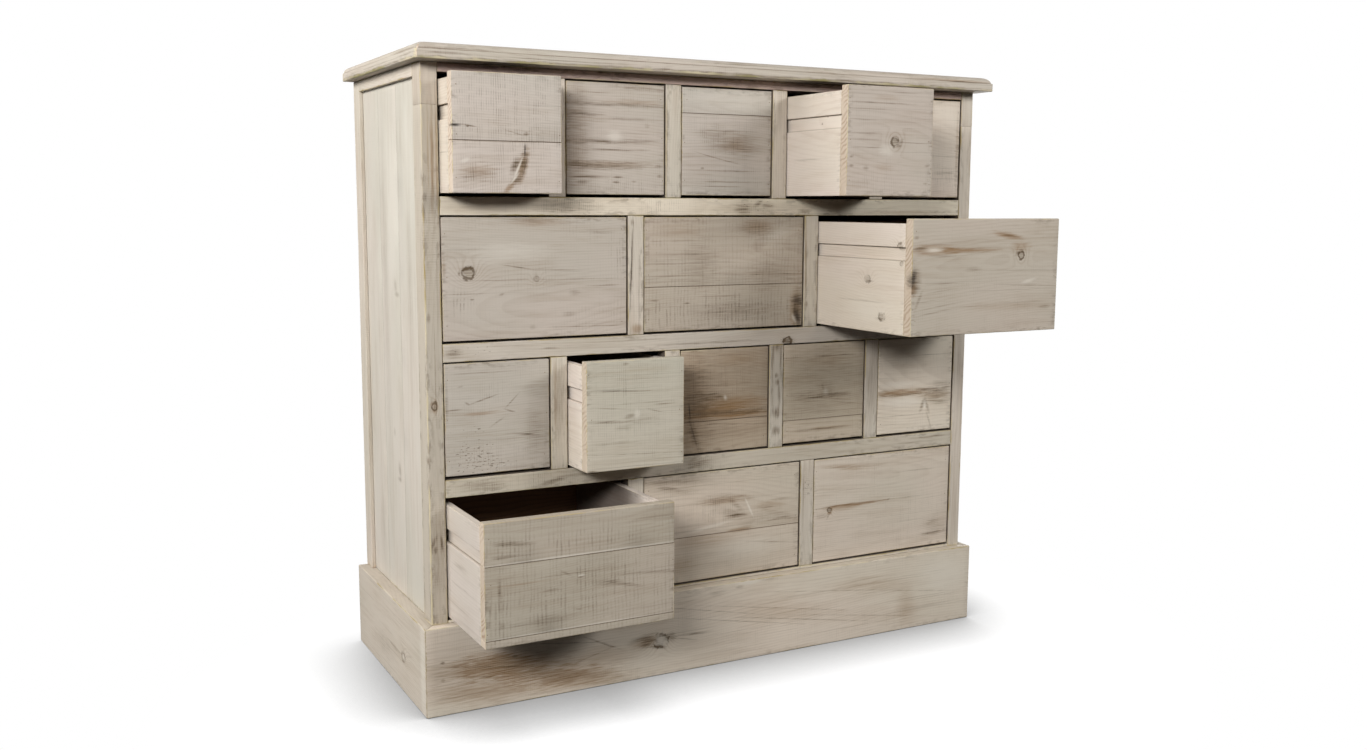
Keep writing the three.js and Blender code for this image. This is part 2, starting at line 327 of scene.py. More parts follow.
def washed_board_group():
    """Pine under a thin, rubbed whitewash, with a dark glaze left in its pores, kerfs and joints.
    The number beside each mask says how strongly it counts."""
    glaze_colour = as_seen(90, 75, 57)
    resin_colour = as_seen(128, 94, 52)
    pale_colour = as_seen(216, 207, 193)
    core_colour = as_seen(168, 156, 140)
    end_colour = as_seen(203, 186, 166)
    end_ring_colour = as_seen(150, 118, 90)
    rubbed_pale_colour = as_seen(196, 184, 152)
    crack_colour = as_seen(34, 26, 20)
    painted_shade_colour = as_seen(58, 42, 32)
    wires, given = new_tree(
        "washed board", "Shader", Vector="Place, Size, Shift",
        Color="Wood, Late wood, Wash, Cool wash, Rubbed wood",
        Float="Seam, Inside, Lift, Near, Rim, Core, Smudge, Resin, Saw, Pale, Speck, Crack, "
        "Cover, Glaze, Wear, Kerfs, Kerf pitch, Grime",
    )
    board = {"Place": given["Place"], "Shift": given["Shift"]}
    figure = wires.group(pine_figure, {**board, "Lift": given["Lift"]})
    rings, streak, fibre, hairline, cloud, drift = figure.values()
    edge = wires.group(arris_wear, {**board, "Size": given["Size"], "Reach": given["Wear"]})
    saw_share = given["Smudge"] * 0.3 + given["Saw"] + given["Kerfs"]
    kerf = wires.group(saw_kerfs, {**board, "Share": saw_share, "Pitch": given["Kerf pitch"]})["Kerf"]
    speck = wires.group(specks, {**board, "Share": given["Speck"]})["Speck"]
    resin, smudge, pale, core, rim = (given[kind] for kind in ("Resin", "Smudge", "Pale", "Core", "Rim"))
    fibrous = fibre.step(0.36, 0.64)
    thin = cloud.step(0.64, 0.36)

    wood = wires.mix(rings * 0.8, given["Wood"], given["Late wood"])
    wash = wires.mix(drift.step(0.36, 0.64), given["Wash"], given["Cool wash"])
    bare = (
        1.0 - given["Cover"] + rings * (given["Near"] * 0.25 + 0.06) + streak * thin * 0.14
        + fibrous * thin * 0.1 + resin * 0.4 + smudge * 0.2 - pale * 0.5
    )
    colour = wires.mix(bare.held(), wash, wood)
    colour = wires.mix(resin * (fibrous * 0.4 + 0.42), colour, resin_colour)
    colour = wires.mix(core * 0.75, colour, core_colour)
    colour = wires.mix(pale * 0.75, colour, pale_colour)
    in_pores = hairline * 0.15 + streak * thin * 0.06 + fibre.step(0.5, 0.72) * 0.08 + kerf * 0.4
    rubbed_in = (
        in_pores.held() * given["Glaze"] + smudge * (fibrous * 0.6 + 0.22) + speck * 0.6
        + edge["Grime"] * given["Grime"] + rim * 0.85 + given["Seam"] * (1.0 - pale) * 0.7
        + core * fibrous * 0.45
    )
    rubbed_in = rubbed_in.held() * (1.0 - pale * 0.8)
    colour = wires.mix(rubbed_in, colour, glaze_colour)
    end_rings = wires.mix(edge["End rings"] * 0.6, end_colour, end_ring_colour)
    colour = wires.mix(edge["End grain"] * 0.75, colour, end_rings)
    rubbed_colour = wires.mix(cloud.step(0.4, 0.6), given["Rubbed wood"], rubbed_pale_colour)
    colour = wires.mix(edge["Worn"] * 0.85, colour, rubbed_colour)
    # Painted shade: faces inside the carcase and the back part of each drawer side's inner face take this
    # dark colour.
    colour = wires.mix(given["Inside"] * 0.8, colour, painted_shade_colour)
    colour = wires.mix(given["Crack"], colour, crack_colour)

    roughness = cloud * 0.16 + 0.64 + rubbed_in * 0.1 - edge["Worn"] * 0.12
    height = (fibre - hairline) * 0.1 + rings * 0.015
    height = height - kerf * 0.2 - (speck + rim) * 0.3 - given["Crack"] * 0.8
    return wires.put_out({"Colour": colour, "Roughness": roughness, "Height": height})


washed_board = washed_board_group()
painted = {
    "Wood": as_seen(176, 156, 132), "Late wood": as_seen(150, 126, 100),
    "Wash": as_seen(206, 196, 183), "Cool wash": as_seen(199, 192, 178),
    "Rubbed wood": as_seen(150, 130, 72), "Cover": 0.88, "Glaze": 1.0, "Wear": 1.9 * mm, "Kerfs": 0.06,
    "Kerf pitch": 3.7 * mm, "Grime": 0.25,
}
matt_shine = 0.35
mark_depth = 14 * mm
relief = 1.0 * mm
relief_strength = 0.9


def finish_material(name, make):
    """A material on one Principled shader, whose inputs are what make gives from the material's wires."""
    material = bpy.data.materials.new(name)
    material.use_nodes = True
    wires = Wires(material.node_tree)
    wires.fill(material.node_tree.nodes["Principled BSDF"], make(wires))
    return material


def pine_finish(name, marks=None, tone=(1.0, 1.0, 1.0), **changes):
    """A pine finish. marks lists the marks of each kind: their place along and across the board in
    millimetres, their half length and half height (a knot's radius and stretch), their strength, and
    their turn in degrees where they have one. tone makes this board's wood and wash lighter or darker."""

    def make(wires):
        inputs = {**painted, **changes}
        for colour in ("Wood", "Late wood", "Wash", "Cool wash"):
            inputs[colour] = tuple(np.multiply(inputs[colour], (*tone, 1.0)))
        read = {"Place": "Vector", "Size": "Vector", "Shift": "Vector", "Seam": "Fac", "Inside": "Fac"}
        for each, output in read.items():
            inputs[each] = wires.add("ShaderNodeAttribute", None, output, attribute_name=each.lower())
        board = {"Place": inputs["Place"], "Shift": inputs["Shift"]}
        found = {}
        for kind, spots in (marks or {}).items():
            for along, across, half_length, half_height, strength, *turn in spots:
                mark = {**board, "Centre": (along * mm, across * mm, 0.0), "Strength": strength}
                if kind == "Knot":
                    mark.update({"Radius": half_length * mm, "Stretch": half_height})
                    masks = wires.group(pine_knot, mark)
                else:
                    half_size = (half_length * mm, half_height * mm, mark_depth)
                    mark.update({"Half size": half_size, "Turn": -math.radians(sum(turn))})
                    masks = {kind: wires.group(soft_patch, mark)["Mask"]}
                for part, mask in masks.items():
                    found[part] = found[part] + mask if part in found else mask
        inputs.update({part: mask.held() for part, mask in found.items()})
        washed = wires.group(washed_board, inputs)
        bumped = {"Height": washed["Height"], "Distance": relief, "Strength": relief_strength}
        return {
            "Base Color": washed["Colour"], "Roughness": washed["Roughness"],
            "Normal": wires.add("ShaderNodeBump", bumped), "Specular IOR Level": matt_shine,
        }

    return finish_material(name, make)


def directions(corners, k):
    """From corner k of an outline, the unit steps back along the side before it and on along the next."""
    steps = (corners[k - 1] - corners[k], corners[(k + 1) % len(corners)] - corners[k])
    return [step / np.linalg.norm(step) for step in steps]


def outline_points(corners, eases, fills):
    """A board's outline with its outward corners rounded. fills says how many points lie along each flat.
    Each point is marked 1 on a rounded corner, -1 in a hollow one and 0 elsewhere."""
    shortest = min(np.linalg.norm(corners[k] - corners[k - 1]) for k in range(len(corners)))
    beside = min(hollow_reach, hollow_share * shortest)
    runs = []
    for k, corner in enumerate(corners):
        back, on = directions(corners, k)
        if back[1] * on[0] <= back[0] * on[1]:
            runs.append([(corner + back * beside, 0.0), (corner, -1.0), (corner + on * beside, 0.0)])
            continue
        ease = eases[k]
        centre = corner + ease * (back + on)
        guard = ease * flat_guard
        turns = np.linspace(0, math.pi / 2, arc_points)
        arc = [(centre - ease * (on * math.cos(turn) + back * math.sin(turn)), 1.0) for turn in turns]
        runs.append([(corner + back * guard, 0.0), *arc, (corner + on * guard, 0.0)])
    marked = []
    for k, run in enumerate(runs):
        last, following = run[-1][0], runs[(k + 1) % len(runs)][0][0]
        marked += run
        marked += [(last + (following - last) * (i + 1) / (fills[k] + 1), 0.0) for i in range(fills[k])]
    points, rounded = zip(*marked)
    return np.array(points), np.array(rounded)


def drawn_in(corners, depth):
    """The same corners, each moved inwards from both of its sides by depth."""
    moved = []
    for k, corner in enumerate(corners):
        back, on = directions(corners, k)
        moved.append(corner + depth * np.array([back[1] - on[1], on[0] - back[0]]))
    return moved


def shell_faces(rings, around):
    """Quads between rings of points, and a cap at each end."""
    faces = []
    for ring in range(rings - 1):
        for k in range(around):
            a, b = ring * around + k, ring * around + (k + 1) % around
            faces.append((a, b, b + around, a + around))
    faces.append(tuple(range(around))[::-1])
    faces.append(tuple(range((rings - 1) * around, rings * around)))
    return faces


flat_spacing = 45 * mm
station_spacing = 16 * mm
arc_points = 5
flat_guard = 2.0
skirt_depth = 1.35
hollow_reach = 2.0 * mm
hollow_share = 0.7
least_ease = 0.04 * mm
arris_ease = 1.0 * mm
glued_ease = 0.45 * mm
end_grain_ease = 1.2 * mm


def planed(corners, eases, start, end, mitres=(0.0, 0.0), end_ease=end_grain_ease):
    """One closed length of timber: corners are (across, through) places, start and end are along it.
    A mitre moves each end's points inwards by that many times their depth behind the outer face."""
    corners = [np.array(corner, float) for corner in corners]
    area = sum(a[0] * b[1] - a[1] * b[0] for a, b in zip(corners, corners[1:] + corners[:1]))
    if area < 0:
        corners, eases = corners[::-1], eases[::-1]
    sides = [np.linalg.norm(b - a) for a, b in zip(corners, corners[1:] + corners[:1])]
    fills = [int(side // flat_spacing) for side in sides]
    end_ease = min(max(eases), end_ease)
    turns = [math.radians(angle) for angle in (90, 60, 30, 0)]
    end_rings = [(skirt_depth * end_ease, 0.0)]
    end_rings += [(end_ease * (1 - math.cos(turn)), end_ease * (1 - math.sin(turn))) for turn in turns]
    count = max(2, round((end - start) / station_spacing))
    stations = [(depth, 0.0, back) for depth, back in end_rings]
    stations += [(0.0, share, 0.0) for share in np.linspace(0, 1, count + 1)[1:-1]]
    stations += [(depth, 1.0, -back) for depth, back in end_rings[::-1]]
    outer = (min if mitres[0] >= 0 else max)(corner[1] for corner in corners)
    rings, flags = [], []
    for depth, share, move in stations:
        station_eases = [max(ease - depth, least_ease) for ease in eases]
        points, rounded = outline_points(drawn_in(corners, depth), station_eases, fills)
        behind = np.abs(points[:, 1] - outer)
        first = start + abs(mitres[0]) * behind
        last = end - abs(mitres[1]) * behind
        rings.append(np.column_stack([first + (last - first) * share + move, points]))
        flags.append(np.where(rounded < 0, rounded, np.maximum(rounded, float(depth > 0))))
    return np.concatenate(rings), shell_faces(len(rings), len(rings[0])), np.concatenate(flags)


def ripple(points, waves, seed):
    """A smooth, uneven value from -1 to 1 at each point, with about that many waves in a metre."""
    layered_waves = 5
    pick = np.random.default_rng(seed)
    value = np.zeros(len(points))
    for _ in range(layered_waves):
        direction = pick.normal(size=3)
        direction *= waves * 2 * math.pi * pick.uniform(0.5, 1.5) / np.linalg.norm(direction)
        value += np.sin(points @ direction + pick.uniform(0, 2 * math.pi))
    return value / layered_waves


dent_waves, nick_waves, planing_waves = 26, 90, 6
nick_share = 0.25
hand_wear = 0.45 * mm
hand_planing = 0.12 * mm
worn_skin = 3 * mm
seam_reach = 0.8 * mm
grain_shifts = 40
crease_degrees = 40
opening_margin = 1.0 * mm
# The room inside the carcase, whose faces take painted shade.
openings_low = Vector((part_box("front_post_left")[1].x, 0.0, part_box("base_board")[1].z))
openings_low += Vector((-opening_margin, opening_margin, -opening_margin))
openings_high = Vector((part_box("front_post_right")[0].x, math.inf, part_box("front_rail_top")[0].z))
openings_high += Vector((opening_margin, 0.0, opening_margin))


def worn_down(points, rounded, seed):
    """The points after years of use: edges knocked about, and faces left uneven by the plane."""
    dents = np.clip(ripple(points, dent_waves, seed), 0, 1) ** 2
    dents += nick_share * np.clip(ripple(points, nick_waves, seed + 1), 0, 1)
    depth = hand_wear * np.maximum(rounded, 0) * dents
    depth += hand_planing * (0.5 + 0.5 * ripple(points, planing_waves, seed + 2))
    centre = (points.min(0) + points.max(0)) / 2
    reach = (points.max(0) - points.min(0)) / 2
    outward = np.clip((np.abs(points - centre) - reach + worn_skin) / worn_skin, 0, 1)
    return points - np.sign(points - centre) * outward * depth[:, None]


def timber(
    name, shells, axes, whole, material, body="carcase", stands_for=(), slot="whitewashed_pine", seams=(),
    painted_shade_share=None,
):
    """Makes one piece from closed shells. axes are the frame's axes along, across and through the board,
    and whole is the low and the high corner from which its grain and its marks are measured.
    painted_shade_share says how much painted shade each point takes, where that is not the carcase's own
    inside."""
    axes = list(axes)
    low, high = (np.array(corner, float)[axes] for corner in whole)
    points, faces, shifts, seam = [], [], [], []
    for local, shell, rounded in shells:
        seed = int(draw.integers(1 << 30))
        frame_points = np.zeros_like(local)
        frame_points[:, axes] = local
        offset = len(points)
        points.extend(worn_down(frame_points, rounded, seed))
        faces.extend(tuple(offset + k for k in face) for face in shell)
        shifts.append(np.tile(draw.uniform(0, grain_shifts, 3), (len(local), 1)))
        near_seam = (rounded < 0).astype(float)
        for joint in seams:
            beside_joint = np.abs(local[:, 1] - joint) < seam_reach
            near_seam = np.maximum(near_seam, np.maximum(rounded, 0) * beside_joint)
        seam.append(near_seam)
    points = np.array(points)
    # Painted shade: the share given for these points, or else the points inside the carcase, are darkened
    # by the finish.
    if painted_shade_share:
        inside = painted_shade_share(points)
    else:
        inside = np.all((points > openings_low) & (points < openings_high), axis=1) & (body == "carcase")
    mesh = bpy.data.meshes.new(name)
    mesh.from_pydata([tuple(point) for point in points], [], faces)
    shape = bmesh.new()
    shape.from_mesh(mesh)
    bmesh.ops.recalc_face_normals(shape, faces=shape.faces)
    shape.to_mesh(mesh)
    shape.free()
    set_grain(mesh, points[:, axes] - low, high - low, np.concatenate(shifts), np.concatenate(seam), inside)
    return finish_piece(name, mesh, material, body, stands_for)


def set_grain(mesh, places, size, shifts, seam, inside):
    """Stores what the finishes read: each point's place on its board, the board's size and its own shift,
    how near a glued joint or a hollow is, and how much painted shade it takes inside the carcase or a
    drawer."""
    for key, values in (("place", places), ("size", np.tile(size, (len(places), 1))), ("shift", shifts)):
        attribute = mesh.attributes.new(key, "FLOAT_VECTOR", "POINT")
        attribute.data.foreach_set("vector", np.asarray(values, np.float32).ravel())
    for key, values in (("seam", seam), ("inside", inside)):
        mesh.attributes.new(key, "FLOAT", "POINT").data.foreach_set("value", np.asarray(values, np.float32))


def finish_piece(name, mesh, material, body, stands_for):
    """Puts a mesh in the scene as one piece, with its finish, its body and the nodes that it stands for."""
    mesh.polygons.foreach_set("use_smooth", np.ones(len(mesh.polygons), bool))
    mesh.set_sharp_from_angle(angle=math.radians(crease_degrees))
    if not mesh.materials:
        mesh.materials.append(material)
    piece = bpy.data.objects.new(name, mesh)
    bpy.context.scene.collection.objects.link(piece)
    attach(piece, body)
    if stands_for:
        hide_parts(*stands_for)
    return piece


def board(
    name, low, high, axes, material, ease=arris_ease, joints=(), joint_ease=glued_ease, mitres=(0.0, 0.0),
    **rest,
):
    """A board, or several glued edge to edge. joints are the places across it where they meet."""
    along, across, through = axes
    stops = [low[across], *joints, high[across]]
    eases = [ease] + [joint_ease] * len(joints) + [ease]
    inner, outer = low[through], high[through]
    shells = []
    for near, far, near_ease, far_ease in zip(stops, stops[1:], eases, eases[1:]):
        corners = [(near, inner), (far, inner), (far, outer), (near, outer)]
        corner_eases = [near_ease, far_ease, far_ease, near_ease]
        shells.append(planed(corners, corner_eases, low[along], high[along], mitres))
    rest.setdefault("whole", (low, high))
    return timber(name, shells, axes, material=material, seams=joints, **rest)


plinth_ease = 1.6 * mm
plinth_low, plinth_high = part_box("plinth_front")
plinth_front_finish = pine_finish(
    "whitewashed pine, plinth front",
    {
        "Knot": [(409, 61, 12, 1.05, 0.95)],
        "Pale": [(409, 61, 10, 9, 1.0), (585, 138, 26, 3, 0.7), (1020, 90, 60, 40, 0.35)],
        "Smudge": [
            (384, 62, 14, 8, 1.0, 20), (372, 70, 24, 5, 0.6, 10), (404, 50, 14, 3, 0.8, -10),
            (430, 64, 9, 7, 0.9, -30), (470, 63, 36, 2.2, 0.8, -3), (452, 57, 24, 1.2, 0.7, -12),
            (300, 74, 34, 1.6, 0.7, -26), (285, 56, 34, 1.2, 0.5, 14), (164, 64, 44, 16, 0.3, -10),
            (27, 86, 3.6, 2.6, 1.0), (27, 58, 3.4, 2.4, 0.8), (146, 77, 4, 2.6, 1.0),
            (110, 66, 110, 1.0, 0.6, -9), (130, 46, 120, 0.9, 0.5, -10), (70, 84, 60, 0.9, 0.4, -8),
            (240, 84, 80, 0.9, 0.6, -8), (500, 100, 120, 0.9, 0.5, -12), (560, 72, 150, 0.9, 0.55, -11),
            (640, 84, 160, 0.8, 0.5, -10), (700, 54, 150, 1.0, 0.5, -10), (780, 96, 150, 0.8, 0.45, -7),
            (840, 40, 150, 0.9, 0.45, -9), (950, 72, 110, 0.9, 0.4, -8), (520, 128, 16, 6, 0.35),
            (565, 133, 8, 3, 0.5), (112, 68, 40, 14, 0.35, -6), (250, 24, 70, 8, 0.3, -8),
        ],
        # The broad resin patches from about 60 to 300 mm along lie under drawer_4_1: they are partly the
        # wood's brown stain and partly painted shade under that drawer when it is pulled out.
        "Resin": [
            (380, 62, 30, 9, 0.6, 8), (160, 62, 90, 22, 0.75, -9), (60, 66, 70, 16, 0.4, -6),
            (930, 44, 20, 34, 0.3), (620, 84, 120, 18, 0.22, -9), (860, 96, 100, 14, 0.22, -6),
            (112, 66, 56, 22, 0.7, -6), (100, 28, 90, 20, 0.6, -6), (240, 26, 100, 18, 0.8, -8),
            (300, 52, 60, 16, 0.4, -8),
        ],
    },
    (1.16, 1.14, 1.12),
)
plinth_end_finish = pine_finish(
    "whitewashed pine, plinth ends",
    {
        "Knot": [(125, 60, 9, 1.2, 0.7)],
        "Pale": [(125, 60, 7, 5, 0.8), (16, 72, 12, 90, 0.45)],
        "Smudge": [(176, 61, 34, 2.4, 0.7, 2), (96, 70, 20, 1.6, 0.3, -16), (240, 48, 60, 20, 0.25)],
    },
    (0.94, 0.94, 0.93),
)
board(
    "plinth_front_board", plinth_low, plinth_high, (X, Z, Y), plinth_front_finish, ease=plinth_ease,
    mitres=(1.0, 1.0), stands_for=["plinth_front"],
)
for end, mitre in (("left", 1.0), ("right", -1.0)):
    low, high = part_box(f"plinth_{end}")
    board(
        f"plinth_{end}_board", low, high, (Y, Z, X), plinth_end_finish, ease=plinth_ease,
        mitres=(mitre, 0.0), stands_for=[f"plinth_{end}"],
    )

# Base board
# A pine board closes the bottom of the carcase and laps over the plinth, where its front edge shows.
# It is left bare inside, and glued and nailed down to the plinth and to the base rails.
base_ease = 0.9 * mm
lap_play = 0.3 * mm
bare = {
    "Wood": as_seen(138, 112, 86), "Late wood": as_seen(112, 86, 60), "Wash": as_seen(150, 126, 100),
    "Cool wash": as_seen(140, 118, 92), "Rubbed wood": as_seen(120, 98, 70), "Cover": 0.35,
    "Wear": 0.6 * mm,
}
bare_finish = pine_finish("bare pine", **bare)
general_finish = pine_finish("whitewashed pine")
low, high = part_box("base_board")
lap_depth = plinth_high.y + lap_play
lap_underside = plinth_high.z + lap_play
lip_corners = [
    (low.y, lap_underside), (lap_depth, lap_underside), (lap_depth, low.z), (high.y, low.z),
    (high.y, high.z), (low.y, high.z),
]
base_length = planed(lip_corners, [base_ease] * len(lip_corners), low.x, high.x)
timber(
    "base_board_lapped", [base_length], (X, Y, Z), (low, high), general_finish, stands_for=["base_board"],
    slot="bare_pine",
)

# Front posts
# Two upright pine posts carry the front rails; a groove in the back of each holds a side panel's edge.
# Each is pieced out of a short and a long length, end to end, and the rails are tenoned and glued into it.
post_ease = 1.3 * mm
groove_ease = 0.5 * mm
groove_play = 0.3 * mm
groove_reach = 6.3 * mm
post_joint_ease = 0.3 * mm
post_joint_drop = 62 * mm
front_post_finish = pine_finish(
    "whitewashed pine, front posts",
    {
        "Resin": [
            (715, 16, 78, 2.4, 0.75), (715, 23, 84, 2.0, 0.7), (730, 10, 60, 1.2, 0.5),
            (345, 12, 9, 5, 0.9),
        ],
        "Saw": [(620, 13, 70, 16, 0.7)],
        "Smudge": [
            (480, 5, 7, 3, 0.8), (400, 14, 70, 1.2, 0.6), (262, 2, 6, 2.5, 0.8), (132, 6, 9, 2.4, 0.9, 20),
            (120, 9, 5, 2.5, 0.9), (125, 20, 14, 2.0, 0.8, -10), (130, 13, 46, 12, 0.4),
            (70, 13, 18, 12, 0.25),
        ],
        "Knot": [(345, 12, 4.5, 1.6, 0.9)],
    },
    (0.87, 0.85, 0.835),
    Wear=2.6 * mm, Grime=0.4,
)
plain_post_finish = pine_finish(
    "whitewashed pine, right post", {"Smudge": [(420, 13, 160, 3, 0.35)]}, Wear=2.6 * mm, Grime=0.3
)


def panel_groove(end):
    """The two sides of the groove that holds the edge of a side panel."""
    low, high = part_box(f"side_panel_{end}")
    return low.x - groove_play, high.x + groove_play


def grooved(sides, face, far, groove, depth, ease, inner_ease):
    """A length's section with a groove in one face: its corners and their eases. sides and groove are
    places across it, face is the grooved face and far the opposite one."""
    floor = face + math.copysign(depth, far - face)
    corners = [
        (sides[0], face), (groove[0], face), (groove[0], floor), (groove[1], floor), (groove[1], face),
        (sides[1], face), (sides[1], far), (sides[0], far),
    ]
    return corners, [ease] + [inner_ease] * 4 + [ease] * 3


for end, finish in (("left", front_post_finish), ("right", plain_post_finish)):
    low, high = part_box(f"front_post_{end}")
    section = grooved(
        (low.x, high.x), high.y, low.y, panel_groove(end), groove_reach, post_ease, groove_ease
    )
    joint = high.z - post_joint_drop
    spans = ((low.z, joint), (joint, high.z))
    lengths = [planed(*section, *span, end_ease=post_joint_ease) for span in spans]
    timber(
        f"front_post_{end}_lengths", lengths, (Z, X, Y), (low, high), finish,
        stands_for=[f"front_post_{end}"],
    )

# Side frames
# Behind each front post stand a back post, a rail over the panel and a low rail behind the panel's foot.
# They are plain pine lengths, glued and screwed together; the panel slides up into their grooves.
side_rail_height = 19 * mm
base_rail_height = 35 * mm
back_post_depth = 36 * mm
side_finish = pine_finish("whitewashed pine, side frames", Wear=2.4 * mm)


def behind_panel(end, reach):
    """The span from the inner side of a panel's groove to so far past the inner face of the post."""
    post_low, post_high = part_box(f"front_post_{end}")
    groove = panel_groove(end)
    return (groove[1], post_high.x + reach) if end == "left" else (post_low.x - reach, groove[0])


for end in ("left", "right"):
    low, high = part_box(f"side_frame_{end}")
    post_low, post_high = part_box(f"front_post_{end}")
    sides = (post_low.x, post_high.x)
    groove = panel_groove(end)
    post_front = high.y - back_post_depth
    rail_foot = high.z - side_rail_height
    section = grooved(sides, post_front, high.y, groove, groove_reach, arris_ease, groove_ease)
    timber(
        f"back_post_{end}", [planed(*section, low.z, high.z)], (Z, X, Y), (low, high), side_finish,
        stands_for=[f"side_frame_{end}"],
    )
    section = grooved(sides, rail_foot, high.z, groove, groove_reach, arris_ease, groove_ease)
    rail_low = Vector((sides[0], post_high.y, rail_foot))
    rail_high = Vector((sides[1], post_front, high.z))
    timber(
        f"side_rail_{end}", [planed(*section, rail_low.y, rail_high.y)], (Y, X, Z), (rail_low, rail_high),
        side_finish,
    )
    inner, outer = behind_panel(end, 0.0)
    board(
        f"base_rail_{end}", Vector((inner, post_high.y, low.z)),
        Vector((outer, post_front, low.z + base_rail_height)), (Y, Z, X), bare_finish, slot="bare_pine",
    )

# Side panels
# Each end is closed by a thin panel glued up from three upright pine boards, set back behind the posts.
# It is held by its edges in the grooves alone, and its wash is the smoothest on the chest.
panel_joint_ease = 0.2 * mm
panel_joint_shares = (0.37, 0.70)
panel_finish = pine_finish(
    "whitewashed pine, side panels",
    {
        "Smudge": [
            (520, 150, 11, 8, 0.5, 20), (505, 141, 4, 12, 0.5), (212, 150, 13, 7, 0.65, 10),
            (196, 151, 4, 10, 0.6), (272, 176, 7, 5, 0.5), (500, 206, 260, 16, 0.24),
            (520, 66, 150, 12, 0.26), (90, 262, 60, 12, 0.2),
        ],
        "Pale": [(660, 160, 130, 40, 0.4), (720, 60, 90, 30, 0.3)],
    },
    (0.955, 0.98, 1.0), Cover=0.93, Glaze=0.5, Kerfs=0.02, Grime=0.1,
)
for end in ("left", "right"):
    low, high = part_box(f"side_panel_{end}")
    joints = [low.y + share * (high.y - low.y) for share in panel_joint_shares]
    board(
        f"side_panel_{end}_boards", low, high, (Z, Y, X), panel_finish, joints=joints,
        joint_ease=panel_joint_ease, stands_for=[f"side_panel_{end}"],
    )

# Front rails
# Four pine rails tie the front posts together, one under the top board and one under each row but the last.
# They are tenoned into the posts, flush with them, and the lower edge of each is rubbed down to the wood.
# The top rail's dark, purplish tone is painted shade under the overhang of the top board.
rail_tones = {
    "front_rail_top": (0.92, 0.77, 0.80), "front_rail_1": (1.175, 1.175, 1.12),
    "front_rail_2": (0.95, 0.96, 0.97), "front_rail_3": (0.93, 0.92, 0.89),
}
rail_marks = {
    "front_rail_top": {
        # The two long smudges at 14 mm across, along the top rail's upper edge, are painted shade just
        # under the top board.
        "Smudge": [(420, 6, 60, 2, 0.4), (250, 14, 300, 3, 0.9), (750, 14, 300, 3, 0.9)],
        "Resin": [(700, 7, 60, 3, 0.3)],
    },
    "front_rail_1": {
        "Smudge": [
            (200, 12, 60, 9, 0.5), (530, 10, 14, 8, 0.8), (560, 20, 10, 4, 0.8, 30), (580, 18, 12, 5, 0.6),
            (655, 8, 12, 5, 0.7), (560, 14, 60, 9, 0.35),
        ],
        "Saw": [(205, 16, 46, 12, 0.9), (372, 16, 30, 12, 0.8)],
        "Speck": [(570, 14, 60, 12, 0.7)],
        "Resin": [(870, 6, 90, 3, 0.3)],
    },
    "front_rail_2": {
        "Smudge": [
            (16, 14, 14, 8, 0.7), (624, 4, 12, 7, 0.8), (460, 10, 90, 2, 0.5), (175, 14, 12, 2, 0.6),
            (330, 20, 60, 1.4, 0.5),
        ],
        "Speck": [(60, 16, 60, 10, 0.7)],
        "Knot": [(624, 5, 7, 1.3, 1.0)],
    },
    "front_rail_3": {
        "Smudge": [
            (60, 14, 34, 9, 0.5), (180, 10, 26, 4, 0.8, 12), (445, 14, 24, 9, 0.7), (950, 20, 50, 2, 0.7),
            (900, 12, 60, 2, 0.4), (240, 16, 40, 3, 0.5),
        ],
        "Saw": [(60, 14, 30, 12, 0.9), (160, 16, 50, 12, 0.9), (450, 14, 40, 12, 0.9)],
    },
}
for name, marks in rail_marks.items():
    low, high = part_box(name)
    finish = pine_finish(f"whitewashed pine, {name.replace('_', ' ')}", marks, rail_tones[name], Grime=0.4)
    board(f"{name}_length", low, high, (X, Z, Y), finish, stands_for=[name])

# Muntins
# Short uprights part the drawers of a row, and a bar behind each runs to the back of the chest.
# The bar is wider than the muntin: the drawers on both sides of it hang on its edges by their grooves.
muntin_width = 28.5 * mm
muntin_depth = 28 * mm
runner_height = 19 * mm
groove_drop = 38 * mm
running_play = 0.3 * mm
muntin_marks = {
    "divider_1_1": {"Smudge": [(60, 12, 50, 2, 0.3)]},
    "divider_1_2": {"Resin": [(90, 2, 80, 1.4, 0.6)], "Smudge": [(170, 8, 4, 2, 0.6)]},
    "divider_1_3": {"Smudge": [(150, 14, 30, 5, 0.3)]},
    "divider_1_4": {"Smudge": [(100, 14, 30, 6, 0.3)]},
    "divider_2_1": {
        "Crack": [(110, 6, 70, 0.7, 0.8, 2)],
        "Smudge": [(120, 7, 60, 2.2, 0.7, 2), (184, 8, 6, 3, 0.7), (80, 20, 60, 1.4, 0.4)],
        "Resin": [(10, 16, 8, 10, 0.75)],
    },
    "divider_2_2": {
        "Resin": [(120, 3, 70, 1.5, 0.8)],
        "Smudge": [(40, 6, 5, 3, 0.8), (90, 5, 50, 1.4, 0.7)],
    },
    "divider_3_1": {"Smudge": [(110, 14, 60, 9, 0.45)], "Resin": [(120, 8, 60, 3, 0.4)]},
    "divider_3_2": {"Smudge": [(90, 14, 50, 6, 0.3)]},
    "divider_3_3": {
        "Smudge": [
            (182, 14, 12, 14, 1.0), (160, 6, 18, 3, 0.9), (150, 23, 34, 2.4, 0.8), (128, 14, 4, 3.4, 0.9),
            (116, 16, 5, 4, 0.8), (110, 6, 40, 2, 0.6), (92, 20, 30, 2.6, 0.7), (62, 15, 9, 9, 1.0),
            (30, 14, 8, 8, 1.0),
        ],
    },
    "divider_3_4": {"Smudge": [(90, 14, 70, 9, 0.3)]},
    "divider_4_1": {"Smudge": [(150, 20, 30, 3, 0.3)]},
    "divider_4_2": {
        "Saw": [(150, 14, 22, 12, 0.9)],
        "Smudge": [(130, 7, 50, 2, 0.5)],
        "Speck": [(140, 14, 30, 12, 0.8)],
    },
}
runner_finish = pine_finish("bare pine, runners", **{**bare, "Cover": 0.2})
